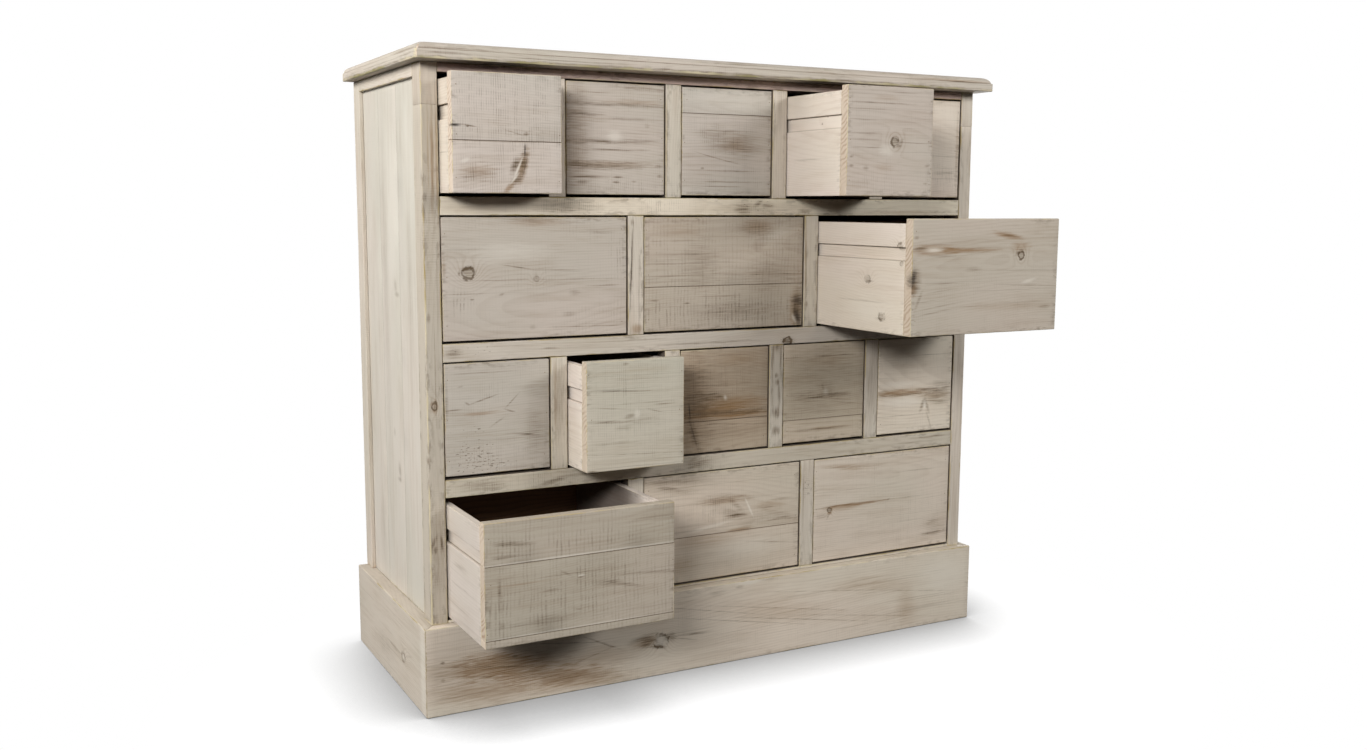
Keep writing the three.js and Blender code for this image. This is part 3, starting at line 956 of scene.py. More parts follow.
for name, marks in muntin_marks.items():
    low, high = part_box(name)
    middle = (low.x + high.x) / 2
    row = name.split("_")[1]
    runner_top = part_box(f"drawer_{row}_1_box")[1].z - groove_drop - running_play
    finish = pine_finish(f"whitewashed pine, {name.replace('_', ' ')}", marks, Grime=0.4)
    board(
        name.replace("divider", "muntin"),
        Vector((middle - muntin_width / 2, low.y, low.z)),
        Vector((middle + muntin_width / 2, low.y + muntin_depth, high.z)),
        (Z, X, Y), finish, stands_for=[name],
    )
    board(
        name.replace("divider", "runner_bar"),
        Vector((low.x, low.y + muntin_depth, runner_top - runner_height)),
        Vector((high.x, high.y, runner_top)),
        (Y, X, Z), runner_finish, slot="bare_pine",
    )

# End runners
# A strip of pine is screwed along the inside of each end, level with the bars, for the outermost drawers.
runner_reach = 6 * mm
for row in range(1, 5):
    for end in ("left", "right"):
        frame_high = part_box(f"side_frame_{end}")[1]
        inner, outer = behind_panel(end, runner_reach)
        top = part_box(f"drawer_{row}_1_box")[1].z - groove_drop - running_play
        board(
            f"end_runner_{row}_{end}",
            Vector((inner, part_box(f"front_post_{end}")[1].y + groove_play, top - runner_height)),
            Vector((outer, frame_high.y - back_post_depth, top)),
            (Y, Z, X), runner_finish, slot="bare_pine",
        )

# Back
# Nine thin pine boards with eased edges stand side by side between the back posts, and are left bare.
# Brads cross them near both ends, and the lower ones go into the base board.
back_boards = 9
back_joint = 0.8 * mm
back_ease = 1.0 * mm
back_skin = 0.5 * mm
slat_stations = 24
slat_ease_points = 3
back_pine = {
    **bare, "Wood": as_seen(160, 134, 104), "Late wood": as_seen(124, 96, 68),
    "Wash": as_seen(158, 138, 114), "Cool wash": as_seen(136, 116, 92),
    "Rubbed wood": as_seen(150, 124, 94), "Cover": 0.4, "Glaze": 1.1, "Kerfs": 0.25, "Grime": 0.6,
}


def finished_copies(wires, copies, finish):
    """Ends a geometry tree: its copies made real, with their finish."""
    whole = wires.add("GeometryNodeRealizeInstances", {"Geometry": copies})
    finished = wires.add("GeometryNodeSetMaterial", {"Geometry": whole, "Material": finish})
    return wires.put_out({"Geometry": finished})


def grown_mesh(name, tree, values):
    """The plain mesh that a geometry node tree makes from these values."""
    seed_object = bpy.data.objects.new(name, bpy.data.meshes.new(name))
    bpy.context.scene.collection.objects.link(seed_object)
    modifier = seed_object.modifiers.new("rule", "NODES")
    modifier.node_group = tree
    for socket in tree.interface.items_tree:
        if socket.in_out == "INPUT":
            modifier[socket.identifier] = values[socket.name]
    evaluated = seed_object.evaluated_get(bpy.context.evaluated_depsgraph_get())
    mesh = bpy.data.meshes.new_from_object(evaluated)
    seed_object.modifiers.clear()
    bpy.data.objects.remove(seed_object)
    return mesh


def slatted_back():
    """Upright boards in a row: a rounded section run up a line, and copied along the width."""
    wires, given = new_tree(
        "slatted back", "Geometry", Vector="Low corner", Float="Pitch, Thickness, Height, Joint, Ease",
        Int="Boards", Material="Finish",
    )
    rise = wires.add("ShaderNodeCombineXYZ", {"Z": given["Height"]})
    line = wires.add("GeometryNodeCurvePrimitiveLine", {"End": rise})
    resampled = wires.add("GeometryNodeResampleCurve", {"Curve": line, "Count": slat_stations})
    inputs = {"Width": given["Pitch"] - given["Joint"], "Height": given["Thickness"]}
    section = wires.add("GeometryNodeCurvePrimitiveQuadrilateral", inputs)
    inputs = {"Curve": section, "Radius": given["Ease"], "Count": slat_ease_points}
    eased = wires.add("GeometryNodeFilletCurve", inputs, mode="POLY")
    inputs = {"Curve": resampled, "Profile Curve": eased, "Fill Caps": True}
    slat = wires.add("GeometryNodeCurveToMesh", inputs)
    half = wires.add("ShaderNodeCombineXYZ", {"X": given["Pitch"] * 0.5, "Y": given["Thickness"] * 0.5})
    pitch = wires.add("ShaderNodeCombineXYZ", {"X": given["Pitch"]})
    inputs = {"Count": given["Boards"], "Start Location": given["Low corner"] + half, "Offset": pitch}
    row = wires.add("GeometryNodeMeshLine", inputs, mode="OFFSET")
    copies = wires.add("GeometryNodeInstanceOnPoints", {"Points": row, "Instance": slat})
    return finished_copies(wires, copies, given["Finish"])


back_low, back_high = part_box("back_panel")
back_pitch = (back_high.x - back_low.x) / back_boards
back_size = np.array([back_high.z - back_low.z, back_pitch, back_high.y - back_low.y])
back_values = {
    "Low corner": tuple(back_low), "Pitch": back_pitch, "Thickness": back_high.y - back_low.y,
    "Height": back_high.z - back_low.z, "Joint": back_joint, "Ease": back_ease, "Boards": back_boards,
    "Finish": pine_finish("bare pine, back", **back_pine),
}
back_mesh = grown_mesh("back_boards", slatted_back(), back_values)
back_points = np.array([tuple(vertex.co) for vertex in back_mesh.vertices])
back_index = np.clip(((back_points[:, X] - back_low.x) / back_pitch).astype(int), 0, back_boards - 1)
back_shifts = draw.uniform(0, grain_shifts, (back_boards, 3))
back_places = (back_points - np.array(back_low))[:, [Z, X, Y]]
back_places[:, 1] -= back_index * back_pitch
# The back boards' inner faces take the painted shade of the carcase's inside.
back_inner_shade = back_points[:, Y] < back_low.y + back_skin
no_seams = np.zeros(len(back_points))
set_grain(back_mesh, back_places, back_size, back_shifts[back_index], no_seams, back_inner_shade)
finish_piece("back_boards", back_mesh, None, "carcase", ["back_panel"])

# Top board
# Four boards glued edge to edge fill the top, inside a moulded pine edging mitred at the front corners.
# The edging's section is a flat band, a small step and a long round; each mitre's tip is cut off square.
top_low, top_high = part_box("top_board")
top_thickness = top_high.z - top_low.z
edging_width = 44 * mm
band_height = 14 * mm
foot_ease = 1.4 * mm
step_ease = 0.9 * mm
step_depth = 2.2 * mm
step_guard = 0.5 * mm
edging_guard = 1.8
round_depth = 16 * mm
round_points = 12
mitre_cut = 4 * mm
mitre_gap = 0.1 * mm
top_field_boards = 4
top_field_ease = 0.3 * mm


def edging_section():
    """The moulding's outline, from its inner foot round to its inner top edge, and its points' flags."""
    foot_guard, step_top = edging_guard * foot_ease, band_height - edging_guard * step_ease
    turns = np.linspace(0, math.pi / 2, arc_points)
    points = [(edging_width, 0.0, 0.0), (foot_guard, 0.0, 0.0)]
    points += [(foot_ease * (1 - math.sin(turn)), foot_ease * (1 - math.cos(turn)), 1.0) for turn in turns]
    points += [(0.0, foot_guard, 0.0), (0.0, step_top, 0.0)]
    for turn in turns:
        rise = band_height - step_ease * (1 - math.sin(turn))
        points.append((step_ease * (1 - math.cos(turn)), rise, 1.0))
    points += [(step_depth - step_guard, band_height, 0.0), (step_depth, band_height, -1.0)]
    for turn in np.linspace(0, math.pi / 2, round_points)[1:]:
        inset = step_depth + round_depth * (1 - math.cos(turn))
        points.append((inset, band_height + (top_thickness - band_height) * math.sin(turn), 0.0))
    points.append((edging_width, top_thickness, 0.0))
    return np.array(points).T


inset, rise, edging_rounded = edging_section()
top_finish = pine_finish(
    "whitewashed pine, top edging",
    {
        "Smudge": [
            (60, 16, 60, 2.4, 0.7), (46, 9, 44, 1.6, 0.6), (210, 8, 120, 0.9, 0.6),
            (330, 14, 150, 0.8, 0.6), (640, 13.4, 190, 0.8, 0.55), (1020, 14, 56, 1.5, 0.9),
            (820, 5, 90, 1.0, 0.4), (500, 5, 90, 0.9, 0.4), (560, 19, 120, 0.8, 0.4),
            # The long smudge that runs the whole length near the foot of the edging is painted shade.
            (540, 2.8, 560, 2.3, 0.85), (150, 3, 110, 1.4, 0.4),
        ],
        "Resin": [(1000, 16, 70, 2.4, 0.6)],
        # The pale band on the edging's round is a painted highlight.
        "Pale": [(300, 20, 200, 2, 0.3)],
    },
    (0.94, 0.94, 0.95), Wear=5.0 * mm, **{"Rubbed wood": as_seen(128, 120, 70)},
)
top_field_finish = pine_finish("whitewashed pine, top boards")


def top_edging(name, sections, axes, stands_for):
    """A moulded length from its sections, each an array of points in the frame."""
    rings = [np.column_stack(section) for section in sections]
    points = np.concatenate(rings)
    faces = shell_faces(len(rings), len(inset))
    shell = (points[:, list(axes)], faces, np.tile(edging_rounded, len(rings)))
    timber(name, [shell], axes, (top_low, top_high), top_finish, stands_for=stands_for)


height = top_low.z + rise
front_edge = top_low.y + inset
stations = round((top_high.x - top_low.x) / station_spacing)
reach = top_high.x - mitre_cut - mitre_gap - inset
sections = [(share * reach, front_edge, height) for share in np.linspace(-1, 1, stations)]
top_edging("top_edging_front", sections, (X, Z, Y), ["top_board"])
for end, side in (("left", -1), ("right", 1)):
    edge = side * (top_high.x - inset)
    tip = top_low.y + mitre_cut + inset
    runs = [
        (edge, top_high.y + (tip - top_high.y) * share, height)
        for share in np.linspace(0, 1, round((top_high.y - top_low.y) / station_spacing))
    ]
    cut_face = (edge - side * mitre_cut, tip - mitre_cut + mitre_gap, height)
    top_edging(f"top_edging_{end}", [*runs, cut_face], (Y, Z, X), [])
field_low = Vector((top_low.x + edging_width, top_low.y + edging_width, top_low.z))
field_high = Vector((top_high.x - edging_width, top_high.y, top_high.z))
field_joints = np.linspace(field_low.y, field_high.y, top_field_boards + 1)[1:-1]
board(
    "top_field_boards", field_low, field_high, (X, Y, Z), top_field_finish, joints=list(field_joints),
    joint_ease=top_field_ease, ease=top_field_ease, whole=(top_low, top_high),
)

# Drawer boxes
# Each drawer has two thick sides of pale, thinly washed pine, and a back and a thin bottom of bare pine.
# A groove along the outer face of each side rides on the runner; the sides are bradded to the front.
drawer_side = 12 * mm
drawer_back = 12 * mm
drawer_bottom = 6 * mm
drawer_ease = 0.9 * mm
bottom_ease = 0.5 * mm
bottom_recess = 8 * mm
groove_height = 22 * mm
groove_depth = 5 * mm
drawer_pine = {
    "Wood": as_seen(204, 182, 158), "Late wood": as_seen(180, 152, 124), "Wash": as_seen(230, 219, 209),
    "Cool wash": as_seen(226, 216, 202), "Rubbed wood": as_seen(190, 174, 144), "Cover": 0.9, "Glaze": 0.5,
    "Wear": 0.8 * mm,
}
drawer_finish = pine_finish("drawer pine", tone=(0.94, 0.94, 0.94), **drawer_pine)
# The drawer bottoms and backs are bare brown pine, made darker still as painted shade inside the drawers.
shaded_inside_finish = pine_finish("brown pine and painted shade, drawer bottoms and backs", **{
    **bare, "Wood": as_seen(108, 80, 58), "Late wood": as_seen(82, 58, 40), "Wash": as_seen(112, 86, 64),
    "Cool wash": as_seen(100, 76, 56),
})
side_tones = {
    ("drawer_1_1", "left"): (0.77, 0.76, 0.74), ("drawer_2_3", "left"): (0.89, 0.89, 0.87),
    ("drawer_4_1", "left"): (0.73, 0.73, 0.74), ("drawer_1_4", "left"): (0.91, 0.91, 0.91),
}
side_marks = {
    ("drawer_1_1", "left"): {"Smudge": [(30, 60, 30, 1.2, 0.4)]},
    ("drawer_2_3", "left"): {
        "Knot": [
            (14, 143, 6.5, 1.2, 0.75), (98, 87, 6.5, 1.2, 0.55), (58, 27, 7, 1.2, 0.8),
            (8, 116, 4.5, 1.0, 0.7),
        ],
        "Smudge": [(96, 84, 12, 2, 0.5), (62, 23, 12, 2, 0.5), (110, 50, 60, 1.6, 0.4)],
        "Pale": [(90, 40, 60, 20, 0.4)],
    },
    ("drawer_1_4", "left"): {
        "Smudge": [(60, 118, 2, 2, 0.8), (44, 128, 2, 2, 0.7), (100, 60, 50, 2, 0.3)],
        "Resin": [(60, 100, 50, 9, 0.15)],
    },
    ("drawer_4_1", "left"): {
        "Smudge": [(90, 96, 30, 5, 0.35), (70, 64, 60, 1.4, 0.4), (110, 30, 70, 1.2, 0.4)],
    },
}
# Painted shade on the inner faces of the drawer sides: it starts this far behind the front and grows over
# this length.
shade_start_depth = 55 * mm
shade_fade_length = 75 * mm
inner_face_skin = 0.2 * mm


def inner_wall_shade(points, inner, front):
    """Painted shade on a drawer side's inner face, growing from a hand's width behind the front."""
    on_inner_face = np.abs(points[:, X] - inner) < inner_face_skin
    return on_inner_face * np.clip((points[:, Y] - front - shade_start_depth) / shade_fade_length, 0, 1)


front_suffix = "_front"
fronts = [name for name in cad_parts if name.startswith("drawer_") and name.endswith(front_suffix)]
drawers = sorted(name.removesuffix(front_suffix) for name in fronts)
for name in drawers:
    low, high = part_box(f"{name}_box")
    groove_top = high.z - groove_drop
    groove = (groove_top - groove_height, groove_top)
    inner_low, inner_high = low.x + drawer_side, high.x - drawer_side
    for end, outer, inner in (("left", low.x, inner_low), ("right", high.x, inner_high)):
        section = grooved((low.z, high.z), outer, inner, groove, groove_depth, drawer_ease, drawer_ease)
        finish = drawer_finish
        if (name, end) in side_marks:
            marks, tone = side_marks[name, end], side_tones[name, end]
            finish = pine_finish(f"drawer pine, {name} {end}", marks, tone, **drawer_pine)
        # Each side's inner face takes painted shade towards the back of the drawer.
        timber(
            f"{name}_side_{end}", [planed(*section, low.y, high.y)], (Y, Z, X),
            (Vector((min(outer, inner), low.y, low.z)), Vector((max(outer, inner), high.y, high.z))),
            finish, name, stands_for=[f"{name}_box"] if end == "left" else (), slot="drawer_pine",
            painted_shade_share=lambda points: inner_wall_shade(points, inner, low.y),
        )
    back_face = high.y - drawer_back
    board(
        f"{name}_back", Vector((inner_low, back_face, low.z)), Vector((inner_high, high.y, high.z)),
        (X, Z, Y), shaded_inside_finish, body=name, slot="drawer_pine",
    )
    bottom_z = low.z + bottom_recess
    board(
        f"{name}_bottom", Vector((inner_low, low.y, bottom_z)),
        Vector((inner_high, back_face, bottom_z + drawer_bottom)),
        (X, Y, Z), shaded_inside_finish, body=name, ease=bottom_ease, slot="drawer_pine",
    )

# Drawer fronts
# Each front is a slab 18 mm thick, glued up from one to three boards, with no handle.
# They are sawn rather than planed, so saw marks, knots, pitch streaks and torn grain show through the wash.
front_ease = 1.5 * mm
front_joints = {
    "drawer_1_1": [77], "drawer_1_3": [134], "drawer_2_2": [73],
    "drawer_3_3": [53], "drawer_3_4": [41], "drawer_4_1": [12, 123], "drawer_4_2": [77],
}
front_marks = {
    "drawer_1_1": {
        "Saw": [
            (78, 142, 52, 26, 1.0), (60, 92, 34, 10, 0.7), (40, 30, 36, 18, 0.7), (130, 120, 44, 50, 0.35),
        ],
        "Resin": [(38, 33, 26, 10, 0.45), (109, 40, 24, 7, 0.9, 74), (88, 9, 13, 4, 0.9, 48)],
        "Smudge": [
            (34, 27, 26, 9, 0.35), (26, 98, 12, 1.2, 0.9, -8), (24, 97, 2, 2, 0.9),
            (115, 88, 3.6, 3.2, 1.0), (98, 89, 14, 1.1, 0.7, -14), (110, 44, 22, 6, 1.0, 76),
            (100, 22, 14, 5, 0.8, 52), (97, 41, 14, 5.5, 1.0, 64), (70, 76, 60, 1.0, 0.5),
        ],
        "Crack": [(4, 98, 9, 2.0, 1.0), (113, 64, 9, 1.4, 0.8, 88), (113, 40, 14, 0.6, 0.5, 74)],
        "Pale": [(103, 40, 16, 1.8, 1.0, 66), (96, 22, 10, 1.6, 0.8, 50), (20, 48, 7, 3, 0.6, 20)],
    },
    # On drawer_1_2 the smudge and resin band up its left edge, at 14 mm along, are painted shade cast by
    # the pulled-out drawer_1_1.
    "drawer_1_2": {
        "Smudge": [
            (140, 168, 34, 3, 0.6), (50, 160, 26, 1, 0.5), (90, 142, 96, 3, 0.75), (25, 126, 34, 3, 0.7),
            (105, 120, 50, 2, 0.55), (44, 84, 50, 4, 0.8), (96, 83, 40, 2.4, 0.6), (130, 86, 40, 2.4, 0.5),
            (78, 71, 52, 1.6, 0.9), (62, 46, 76, 6.5, 0.85), (165, 46, 8, 3, 0.6), (38, 28, 28, 2, 0.9),
            (88, 28, 8, 2, 0.8), (28, 20, 12, 1.6, 0.9), (86, 20, 6, 2, 0.9), (118, 21, 4, 1.4, 0.8),
            (164, 30, 4, 2.6, 0.6), (142, 111, 5, 3, 0.45), (14, 90, 26, 84, 0.4),
        ],
        "Resin": [(124, 147, 50, 4, 0.4), (70, 48, 70, 6, 0.35), (14, 90, 22, 84, 0.18)],
        "Saw": [(90, 14, 80, 12, 0.7)],
        "Pale": [(84, 92, 12, 10, 0.5)],
        "Speck": [(90, 24, 80, 9, 0.5)],
    },
    "drawer_1_3": {
        "Resin": [(104, 84, 30, 13, 0.4)],
        "Smudge": [
            (100, 82, 44, 18, 0.4), (60, 100, 30, 14, 0.25), (90, 107, 60, 1, 0.5), (90, 41, 60, 1.1, 0.8),
            (85, 23, 64, 1.1, 0.8), (76, 15, 40, 0.9, 0.6), (39, 45, 3.4, 1.8, 0.8),
            (84, 58, 40, 1.1, 0.5, -12), (48, 66, 24, 1, 0.4, -14), (3, 95, 3, 5, 0.6),
        ],
        "Saw": [(70, 96, 44, 26, 0.5)],
        "Pale": [(90, 160, 80, 14, 0.3)],
    },
    "drawer_1_4": {
        "Knot": [(95, 88, 8, 1.0, 1.0)],
        "Smudge": [
            (106, 84, 9, 3.4, 0.7, 60), (60, 149, 60, 1.4, 0.6), (46, 139, 44, 1.4, 0.5),
            (36, 122, 40, 1.2, 0.4), (34, 100, 34, 1.6, 0.5), (30, 90, 34, 1.4, 0.5),
            (44, 78, 26, 1.2, 0.6), (132, 87, 40, 0.8, 0.5), (9, 63, 4, 2, 0.8, 10), (9, 48, 4, 2.2, 0.8),
            (38, 45, 5, 4, 0.5), (162, 50, 5, 2.4, 0.5), (160, 21, 5, 2, 0.4), (110, 167, 30, 1, 0.5),
        ],
        "Pale": [(78, 74, 14, 9, 0.5)],
        "Resin": [(76, 158, 24, 5, 0.22), (74, 46, 18, 7, 0.22)],
        "Saw": [(50, 20, 44, 18, 0.45)],
    },
    "drawer_1_5": {
        "Smudge": [(138, 75, 40, 1.4, 0.35), (142, 45, 22, 3, 0.5), (60, 110, 40, 2, 0.4)],
        "Saw": [(140, 40, 30, 22, 0.5)],
        "Knot": [(52, 60, 7, 1.3, 0.7)],
        "Resin": [(168, 90, 3, 70, 0.4)],
    },
    "drawer_2_1": {
        "Knot": [(42, 104, 10, 1.0, 0.95), (153, 93, 4.5, 1.0, 0.4)],
        "Smudge": [
            (39, 111, 9, 3.4, 1.0, 12), (27, 104, 2, 4, 0.8), (120, 112, 26, 0.9, 0.8, -9),
            (190, 106, 56, 2, 0.4, -3), (110, 92, 60, 0.7, 0.5), (230, 91, 70, 0.8, 0.6),
            (272, 80, 26, 1.1, 0.7), (45, 72, 44, 0.9, 0.6), (95, 70, 4, 2, 0.5, 20),
            (140, 184, 40, 4, 0.4), (262, 166, 26, 3, 0.4), (230, 15, 76, 0.9, 0.7, -1),
            (208, 35, 10, 4, 0.4), (218, 70, 9, 5, 0.35), (146, 17, 5, 3, 0.35), (47, 63, 3, 1.6, 0.7),
        ],
        "Saw": [(30, 60, 14, 17, 0.9), (294, 132, 12, 30, 0.9), (290, 36, 14, 20, 0.5)],
        "Resin": [(160, 182, 44, 6, 0.4), (3, 112, 3, 14, 0.4)],
        "Pale": [(110, 134, 60, 16, 0.35)],
    },
    # On drawer_2_2 the two broad grey smudges at 105 and 230 mm along are painted shadows of a tag hanging
    # on this front, which is not modelled.
    "drawer_2_2": {
        "Smudge": [
            (105, 104, 32, 40, 0.38), (230, 92, 34, 28, 0.35), (180, 30, 90, 16, 0.4),
            (60, 92, 62, 1.1, 0.7), (250, 91, 60, 1.1, 0.7), (215, 168, 30, 14, 0.4),
            (299, 30, 10, 30, 1.0), (80, 46, 5, 1.6, 0.9), (20, 52, 8, 1.6, 0.6), (150, 56, 40, 1.4, 0.5),
            (60, 128, 50, 1.4, 0.4), (60, 150, 60, 1.4, 0.4), (280, 143, 40, 1.4, 0.4, -2),
            (40, 112, 36, 1.2, 0.4), (285, 82, 24, 3, 0.5, -8), (235, 150, 30, 8, 0.3, 25),
        ],
        "Resin": [(60, 165, 50, 12, 0.25), (215, 172, 30, 12, 0.4), (297, 30, 13, 34, 0.7)],
        "Saw": [(30, 28, 24, 20, 1.0), (200, 28, 90, 22, 0.8), (110, 40, 60, 24, 0.5)],
        "Crack": [(300, 44, 8, 12, 0.7, 70), (300, 16, 6, 16, 0.8, 20)],
        "Pale": [(294, 12, 4, 9, 0.8, 30), (250, 158, 26, 8, 0.35, 20)],
    },
    "drawer_2_3": {
        "Resin": [
            (46, 138, 42, 8, 0.9), (110, 137, 64, 4, 0.9), (198, 160, 28, 4.5, 1.0, -9),
            (226, 142, 20, 8, 0.5), (3, 78, 7, 12, 0.9), (200, 44, 90, 8, 0.18),
        ],
        "Pale": [(44, 138, 18, 4.4, 1.0), (245, 84, 16, 3, 0.5, 12)],
        "Smudge": [
            (16, 140, 12, 3, 0.9, 4), (66, 128, 30, 2.4, 0.4), (200, 160, 16, 2.4, 0.6, -9),
            (222, 132, 9, 3, 0.9, 30), (125, 106, 15, 3.4, 0.55), (6, 90, 11, 19, 1.0),
            (15, 58, 14, 3, 0.6, 65), (66, 84, 44, 0.9, 0.6, -1), (248, 77, 56, 0.9, 0.6, -2),
            (60, 72, 24, 1.2, 0.5, 6), (60, 48, 40, 1.2, 0.45, 8), (48, 38, 34, 1.2, 0.5, 8),
            (32, 56, 22, 1.1, 0.4, 6), (285, 40, 12, 4, 0.4), (8, 158, 4, 3, 0.5), (130, 45, 50, 1, 0.35),
        ],
        "Knot": [(228, 127, 7, 1.0, 1.0)],
        "Crack": [(3, 92, 14, 5, 0.8, 80)],
    },
    "drawer_3_1": {
        "Smudge": [
            (64, 118, 22, 1.2, 0.9, 16), (110, 113, 14, 1.2, 0.7, 44), (106, 97, 9, 1.3, 0.95, -18),
            (130, 58, 22, 2, 0.8, -6), (148, 60, 16, 44, 0.4), (150, 128, 18, 12, 0.3),
            (16, 104, 20, 1, 0.7, 2), (60, 160, 50, 1, 0.5), (36, 113, 4, 1.6, 0.8, -30),
            (3, 118, 2.6, 30, 0.5), (26, 140, 5, 1.4, 0.5, 10), (84, 80, 12, 1.4, 0.5, 30),
        ],
        "Resin": [(56, 96, 32, 3, 0.55)],
        "Speck": [(45, 30, 50, 30, 1.0), (40, 72, 34, 12, 0.6), (80, 14, 60, 12, 0.7)],
        "Saw": [(90, 30, 70, 24, 0.35), (76, 128, 24, 20, 0.4)],
    },
    "drawer_3_2": {
        "Crack": [(48, 128, 30, 0.6, 0.6, -3)],
        "Smudge": [
            (76, 126, 66, 1.0, 0.6, -2), (104, 106, 50, 1.6, 0.4), (138, 102, 18, 1.4, 0.6),
            (40, 79, 34, 2.2, 0.7, -3), (76, 86, 9, 3.6, 0.7, 10), (66, 68, 16, 3, 0.4),
            (100, 80, 30, 8, 0.25), (8, 2, 10, 2, 0.9), (68, 170, 5, 2, 0.7), (44, 44, 40, 2.4, 0.35),
            (44, 100, 30, 1.4, 0.45, -6), (120, 92, 14, 1, 0.5, -14), (90, 24, 90, 0.8, 0.6, -3),
        ],
        "Pale": [(88, 88, 5, 8, 0.5)],
        "Saw": [(60, 130, 40, 36, 0.4), (90, 70, 60, 30, 0.3)],
        "Resin": [(110, 160, 40, 4, 0.2)],
    },
    # On drawer_3_3 the smudge and resin band up its left edge, at 24 mm along, are painted shade cast by
    # the pulled-out drawer_3_2.
    "drawer_3_3": {
        "Smudge": [
            (86, 68, 92, 4, 1.0), (90, 63, 90, 1.2, 0.9), (40, 90, 46, 16, 0.7), (70, 98, 14, 3, 0.9, -8),
            (26, 32, 28, 7, 0.7, 108), (34, 74, 18, 4, 1.0, 8), (110, 166, 70, 1, 0.5),
            (90, 115, 60, 2, 0.4), (70, 140, 70, 20, 0.3), (100, 46, 60, 1.6, 0.5, -4),
            (86, 34, 80, 18, 0.25), (148, 66, 22, 3, 0.7, 10), (24, 84, 34, 80, 0.5),
        ],
        "Resin": [
            (80, 64, 90, 4, 1.0), (98, 80, 60, 15, 0.9), (60, 72, 52, 4, 1.0), (110, 158, 40, 10, 0.3),
            (100, 60, 60, 6, 0.6), (24, 84, 34, 80, 0.3),
        ],
        "Pale": [(87, 93, 3.4, 4.4, 0.8, 30)],
        "Crack": [(24, 36, 27, 1.8, 0.45, 108), (17, 74, 14, 1.6, 0.7, 96)],
        "Saw": [(90, 118, 60, 36, 0.5)],
    },
    "drawer_3_4": {
        "Smudge": [
            (80, 81, 26, 4, 0.85), (116, 82, 26, 4, 0.7), (86, 92, 20, 14, 0.35), (84, 96, 2.5, 6, 0.4, 20),
            (84, 21, 62, 2.4, 0.8), (86, 153, 80, 1.2, 0.7), (50, 84, 36, 9, 0.4), (80, 130, 90, 40, 0.35),
            (60, 60, 60, 20, 0.3), (110, 74, 40, 1, 0.5, -6), (64, 33, 50, 1, 0.4),
            (130, 66, 40, 1.2, 0.4, -8),
        ],
        "Pale": [(90, 88, 5, 7, 0.35, 20)],
        "Resin": [(96, 22, 40, 3, 0.4), (90, 145, 40, 10, 0.25)],
    },
    "drawer_3_5": {
        "Resin": [(50, 76, 66, 6.5, 1.0), (132, 66, 40, 9, 0.5), (60, 84, 60, 22, 0.1)],
        "Smudge": [
            (60, 72, 60, 2.6, 0.6), (126, 78, 36, 5, 0.75), (140, 68, 32, 9, 0.6, -4),
            (105, 50, 14, 4, 0.8, 66), (116, 46, 14, 3.4, 0.7, 112), (140, 55, 26, 5, 0.7, -6),
            (120, 22, 18, 2, 0.5, 110), (150, 88, 26, 5, 0.5), (60, 33, 60, 0.8, 0.5),
            (130, 144, 50, 0.9, 0.5), (160, 80, 12, 2, 0.8),
        ],
        "Pale": [(110, 50, 4, 9, 0.6), (50, 92, 44, 6, 0.4), (60, 58, 50, 8, 0.4)],
    },
    "drawer_4_1": {
        "Saw": [
            (45, 148, 40, 16, 1.0), (150, 146, 110, 18, 0.6), (220, 76, 90, 30, 0.85),
            (120, 60, 90, 50, 0.45), (20, 40, 18, 44, 0.7),
        ],
        "Smudge": [
            (34, 155, 22, 4, 0.7, -4), (30, 136, 16, 3, 0.6), (62, 151, 18, 3, 0.4),
            (200, 75, 22, 5, 0.6, -6), (226, 68, 26, 3, 0.6, -14), (182, 74, 14, 2, 0.5),
            (24, 76, 4, 26, 0.35, 4), (22, 88, 2.4, 9, 0.5), (100, 76, 16, 2, 0.6),
            (152, 90, 5, 1.6, 0.8, 8), (148, 40, 8, 1.6, 0.6, -10), (90, 30, 44, 9, 0.35),
            (130, 97, 60, 0.9, 0.5), (262, 82, 50, 3, 0.5, -3), (128, 98, 12, 2, 0.5, -30),
            (26, 32, 5, 5, 0.5), (280, 168, 36, 1.4, 0.5),
        ],
        "Pale": [(152, 92, 6, 1.6, 0.9), (150, 125, 150, 1.4, 0.9), (150, 13.6, 150, 1.2, 0.6)],
        "Resin": [(60, 92, 60, 2, 0.25)],
    },
    "drawer_4_2": {
        "Resin": [
            (160, 136, 44, 8, 0.5), (190, 80, 24, 4, 0.6), (250, 118, 30, 8, 0.35), (110, 70, 60, 14, 0.25),
            (60, 30, 40, 16, 0.25),
        ],
        "Smudge": [
            (150, 138, 50, 8, 0.4), (182, 106, 18, 3, 0.9), (172, 108, 24, 11, 0.35, -20),
            (180, 124, 16, 5, 0.5, -40), (280, 91, 28, 2.6, 0.85, -2), (270, 127, 20, 2, 0.7),
            (242, 116, 18, 3, 0.5), (250, 100, 40, 14, 0.25), (255, 50, 60, 1.2, 0.55, -8),
            (80, 98, 30, 2, 0.4), (60, 178, 50, 5, 0.6, -2), (60, 162, 40, 6, 0.35, -6),
            (44, 168, 20, 3, 0.6, -8),
        ],
        "Pale": [(206, 118, 18, 1.8, 0.9, 116), (125, 92, 40, 3, 0.5, 8), (200, 50, 80, 20, 0.25)],
        "Saw": [(140, 118, 30, 26, 0.6)],
    },
    "drawer_4_3": {
        "Resin": [
            (90, 99, 64, 3, 1.0), (70, 96, 44, 6, 0.5), (36, 92, 6, 5, 0.9, 60), (66, 172, 50, 4, 0.4, -4),
            (90, 165, 34, 2, 0.4, -4),
        ],
        "Smudge": [
            (96, 99, 58, 1.4, 0.6), (20, 99, 22, 1, 0.7), (34, 86, 10, 2, 0.6, 60), (200, 100, 50, 1, 0.5),
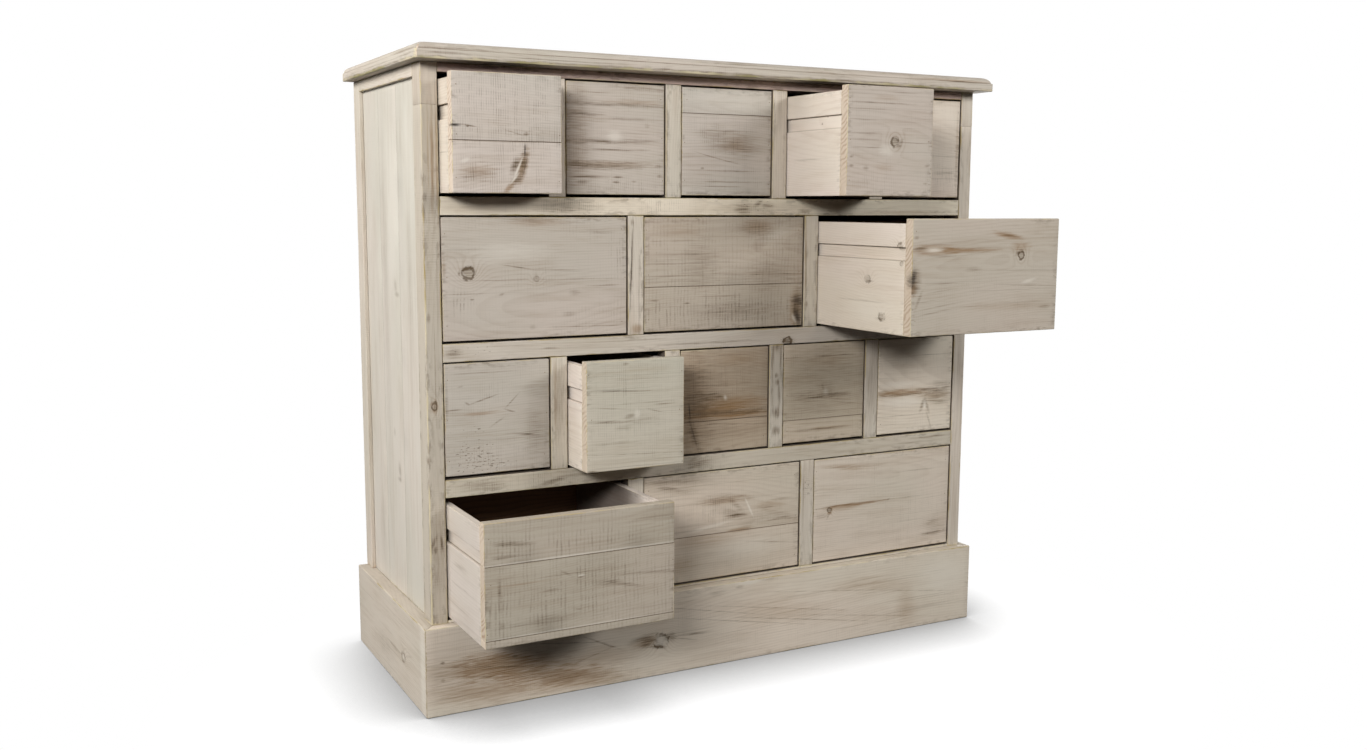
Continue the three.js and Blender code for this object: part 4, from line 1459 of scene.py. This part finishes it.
            (168, 100, 4, 2, 0.6, 30), (278, 23, 30, 3, 0.9), (278, 38, 26, 16, 0.4),
            (70, 170, 56, 1.2, 0.4, -3), (18, 84, 12, 4, 0.4), (44, 73, 34, 1, 0.4),
            (240, 150, 60, 1.2, 0.3),
        ],
        "Knot": [(35, 93, 5, 1.0, 0.9)],
        "Saw": [(120, 160, 30, 26, 0.4), (200, 60, 60, 50, 0.25)],
    },
}
# Each front's tone, how well its wash covers the wood, and its share of saw kerfs.
# The pale tones of drawer_1_5 and drawer_3_5 are painted light: their wash is made paler so that they stay
# bright where the pulled-out drawers beside and above them shade them.
front_looks = {
    "drawer_1_1": ((0.95, 0.945, 0.985), 0.88, 0.5), "drawer_1_2": ((0.88, 0.875, 0.905), 0.84, 0.2),
    "drawer_1_3": ((0.865, 0.87, 0.905), 0.88, 0.2), "drawer_1_4": ((0.855, 0.835, 0.85), 0.88, 0.12),
    "drawer_1_5": ((1.17, 1.14, 1.15), 0.88, 0.2), "drawer_2_1": ((0.87, 0.86, 0.88), 0.88, 0.08),
    "drawer_2_2": ((0.82, 0.79, 0.77), 0.84, 0.4), "drawer_2_3": ((0.84, 0.82, 0.81), 0.88, 0.06),
    "drawer_3_1": ((0.83, 0.85, 0.87), 0.88, 0.12), "drawer_3_2": ((0.90, 0.925, 0.90), 0.9, 0.2),
    "drawer_3_3": ((0.77, 0.70, 0.625), 0.78, 0.3), "drawer_3_4": ((0.885, 0.84, 0.775), 0.82, 0.2),
    "drawer_3_5": ((1.16, 1.16, 1.14), 0.84, 0.12), "drawer_4_1": ((0.77, 0.75, 0.72), 0.9, 0.4),
    "drawer_4_2": ((0.99, 0.96, 0.93), 0.84, 0.22), "drawer_4_3": ((1.04, 1.02, 1.005), 0.88, 0.15),
}
front_rubbed = as_seen(168, 150, 108)
front_pitches = {"drawer_2_2": 6.6 * mm, "drawer_4_1": 6.2 * mm, "drawer_2_1": 5.2 * mm}
# Some fronts were cut a little deeper than the rest and leave a thinner gap below.
front_extra_depths = {
    "drawer_2_1": 1.2 * mm, "drawer_2_2": 1.3 * mm, "drawer_3_3": 1.5 * mm, "drawer_3_5": 1.0 * mm,
    "drawer_4_2": 1.7 * mm, "drawer_4_3": 1.5 * mm,
}
for name in drawers:
    low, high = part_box(f"{name}_front")
    joints = [low.z + joint * mm for joint in front_joints.get(name, ())]
    low.z -= front_extra_depths.get(name, 0.0)
    tone, cover, kerfs = front_looks[name]
    changes = {
        "Kerfs": kerfs, "Cover": cover, "Kerf pitch": front_pitches.get(name, painted["Kerf pitch"]),
        "Rubbed wood": front_rubbed, "Wear": 1.6 * mm, "Grime": 0.4,
    }
    finish = pine_finish(f"whitewashed pine, {name}", front_marks[name], tone, **changes)
    board(
        f"{name}_front_slab", low, high, (X, Z, Y), finish, body=name, ease=front_ease, joints=joints,
        stands_for=[f"{name}_front"],
    )

# Brads
# Small steel brads hold each front to the ends of its drawer sides, and the back boards to the carcase.
# They were driven just below the surface before the wash, and their heads show as dark dots.
brad_radius = 0.8 * mm
brad_length = 0.8 * mm
brad_sunk = 0.02 * mm
brads_per_side = 3
brad_scatter = 3.5 * mm
brad_end_distance = 22 * mm
brad_corners = 10
brad_waves = (900, 900, 900)
back_brad_seed = 90
brad_relief = 0.2 * mm


def brad_rows():
    """Two rows of brads up a face: heads copied to points on two lines, each moved a little at random."""
    wires, given = new_tree(
        "brad rows", "Geometry", Vector="First row, Second row, Run, Scatter", Float="Radius, Length",
        Int="Brads, Seed", Material="Finish",
    )
    joined = wires.node("GeometryNodeJoinGeometry")
    for row in ("First row", "Second row"):
        row_end = given[row] + given["Run"]
        inputs = {"Count": given["Brads"], "Start Location": given[row], "Offset": row_end}
        wires.fill(joined, {"Geometry": wires.add("GeometryNodeMeshLine", inputs, mode="END_POINTS")})
    inputs = {0: given["Scatter"] * (-1.0, -1.0, -1.0), 1: given["Scatter"], "Seed": given["Seed"]}
    moved = wires.add("FunctionNodeRandomValue", inputs, data_type="FLOAT_VECTOR")
    inputs = {"Geometry": Wire(wires, joined.outputs[0]), "Offset": moved}
    points = wires.add("GeometryNodeSetPosition", inputs)
    inputs = {"Vertices": brad_corners, "Radius": given["Radius"], "Depth": given["Length"]}
    head = wires.add("GeometryNodeMeshCylinder", inputs)
    inputs = {"Points": points, "Instance": head, "Rotation": (math.pi / 2, 0.0, 0.0)}
    copies = wires.add("GeometryNodeInstanceOnPoints", inputs)
    return finished_copies(wires, copies, given["Finish"])


def rusted_steel(wires):
    """Dull steel that has rusted a little under the wash."""
    place = wires.add("ShaderNodeTexCoord", output="Object")
    rust = wires.noise({"Place": place, "Shift": (0.0, 0.0, 0.0)}, brad_waves)
    return {
        "Base Color": wires.mix(rust.step(0.35, 0.65), as_seen(112, 98, 82), as_seen(134, 114, 92)),
        "Roughness": rust * 0.3 + 0.5,
        "Normal": wires.add("ShaderNodeBump", {"Height": rust, "Distance": brad_relief}),
    }


brad_tree = brad_rows()
brad_finish = finish_material("rusted brads", rusted_steel)


def add_brads(name, first, second, run, count, body, seed):
    """One piece of brads: two rows that begin at first and at second, and go the same way."""
    values = {
        "First row": first, "Second row": second, "Run": run, "Brads": count, "Seed": seed,
        "Radius": brad_radius, "Length": brad_length, "Scatter": (brad_scatter, 0.0, brad_scatter),
        "Finish": brad_finish,
    }
    finish_piece(name, grown_mesh(name, brad_tree, values), brad_finish, body, ())


for seed, name in enumerate(drawers):
    low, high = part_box(f"{name}_front")
    face = low.y + brad_length / 2 + brad_sunk
    foot = low.z + brad_end_distance
    add_brads(
        f"{name}_brads", (low.x + drawer_side / 2, face, foot), (high.x - drawer_side / 2, face, foot),
        (0.0, 0.0, high.z - low.z - 2 * brad_end_distance), brads_per_side, name, seed,
    )
back_face = back_high.y - brad_length / 2 - brad_sunk
back_start = back_low.x + brad_end_distance
add_brads(
    "back_brads", (back_start, back_face, back_low.z + brad_end_distance / 2),
    (back_start, back_face, back_high.z - brad_end_distance / 2),
    (back_high.x - back_low.x - 2 * brad_end_distance, 0.0, 0.0), 2 * back_boards, "carcase",
    back_brad_seed,
)

# Studio
# A plain pale floor keeps the chest's soft shadow, and the camera sees it and the backdrop as white.
# Two soft lamps stand high in front, to the left and to the right; others light the left end and the back.
floor_half = 9.0
floor_drop = 0.3 * mm
floor_grey = (0.035, 0.035, 0.035, 1.0)
floor_pale = (0.2, 0.2, 0.2, 1.0)
white = (1.0, 1.0, 1.0, 1.0)
shadow_centre = (-0.02, 0.0, 0.0)
shadow_stretch = (1.0, 1.25, 1.0)
shadow_reach = 0.54
shadow_end = 0.94
floor_lift = 0.98
contact_reach = 0.172
contact_samples = 16
contact_depth = 0.95
contact_falloff = 1.9
world_light = 0.018
room_warmth = (1.0, 0.78, 0.56, 1.0)

floor_mesh = bpy.data.meshes.new("studio_floor")
floor_mesh.from_pydata(
    [(x * floor_half, y * floor_half, -floor_drop) for x, y in ((-1, -1), (1, -1), (1, 1), (-1, 1))],
    [], [(0, 1, 2, 3)],
)
floor = bpy.data.objects.new("studio_floor", floor_mesh)
bpy.context.scene.collection.objects.link(floor)


def backdrop_share(wires):
    """1 for the rays that see the backdrop itself: the camera's, and those in a gloss or through glass."""
    path = wires.named("ShaderNodeLightPath")
    seen = wires.math("MAXIMUM", path["Is Camera Ray"], path["Is Glossy Ray"])
    return wires.math("MAXIMUM", seen, path["Is Transmission Ray"])


def cleared(owner):
    """The wires of a material or a world whose own nodes are taken away."""
    owner.use_nodes = True
    owner.node_tree.nodes.clear()
    return Wires(owner.node_tree)


floor_material = bpy.data.materials.new("studio floor")
wires = cleared(floor_material)
position = wires.add("ShaderNodeTexCoord", output="Object")
across_floor = (position - shadow_centre) * shadow_stretch
fade = wires.math("LENGTH", across_floor).step(shadow_reach, shadow_end)
inputs = {"Distance": contact_reach}
open_sky = wires.add("ShaderNodeAmbientOcclusion", inputs, "AO", samples=contact_samples)
near_chest = wires.math("POWER", open_sky, contact_falloff) * contact_depth + (1.0 - contact_depth)
lighting = wires.add("ShaderNodeBsdfDiffuse", {"Color": floor_grey})
shadowed = wires.add("ShaderNodeBsdfDiffuse", {"Color": floor_pale})
lift = wires.add("ShaderNodeEmission", {"Color": white, "Strength": near_chest * floor_lift})
lifted = wires.add("ShaderNodeAddShader", {0: shadowed, 1: lift})
plain_white = wires.add("ShaderNodeEmission", {"Color": white, "Strength": 1.0})
near_or_far = wires.add("ShaderNodeMixShader", {0: fade, 1: lifted, 2: plain_white})
seen_floor = wires.add("ShaderNodeMixShader", {0: backdrop_share(wires), 1: lighting, 2: near_or_far})
wires.node("ShaderNodeOutputMaterial", {"Surface": seen_floor})
floor_mesh.materials.append(floor_material)

world = bpy.data.worlds.new("studio")
bpy.context.scene.world = world
wires = cleared(world)
ambient = wires.add("ShaderNodeBackground", {"Color": room_warmth, "Strength": world_light})
backdrop = wires.add("ShaderNodeBackground", {"Color": white, "Strength": 1.0})
seen_world = wires.add("ShaderNodeMixShader", {0: backdrop_share(wires), 1: ambient, 2: backdrop})
wires.node("ShaderNodeOutputWorld", {"Surface": seen_world})


def soft_lamp(name, place, aim, width, height, power):
    """A rectangular area lamp at a place, turned towards a point."""
    data = bpy.data.lights.new(name, "AREA")
    data.shape = "RECTANGLE"
    data.size = width
    data.size_y = height
    data.energy = power
    lamp = bpy.data.objects.new(name, data)
    lamp.location = place
    lamp.rotation_euler = (Vector(aim) - Vector(place)).to_track_quat("-Z", "Y").to_euler()
    bpy.context.scene.collection.objects.link(lamp)


front_aim = (0.0, 0.0, 0.55)
soft_lamp("left_front_lamp", (-2.4, -2.1, 1.75), front_aim, width=1.5, height=0.65, power=95)
soft_lamp("right_front_lamp", (1.75, -2.1, 1.75), front_aim, width=1.4, height=0.75, power=45)
soft_lamp("left_lamp", (-2.9, 0.5, 1.9), (-0.5, 0.15, 0.6), width=1.5, height=1.5, power=58)
soft_lamp("back_lamp", (1.5, 2.4, 0.55), (0.1, 0.3, 0.55), width=1.5, height=0.6, power=60)
bpy.context.scene.view_settings.view_transform = "Standard"
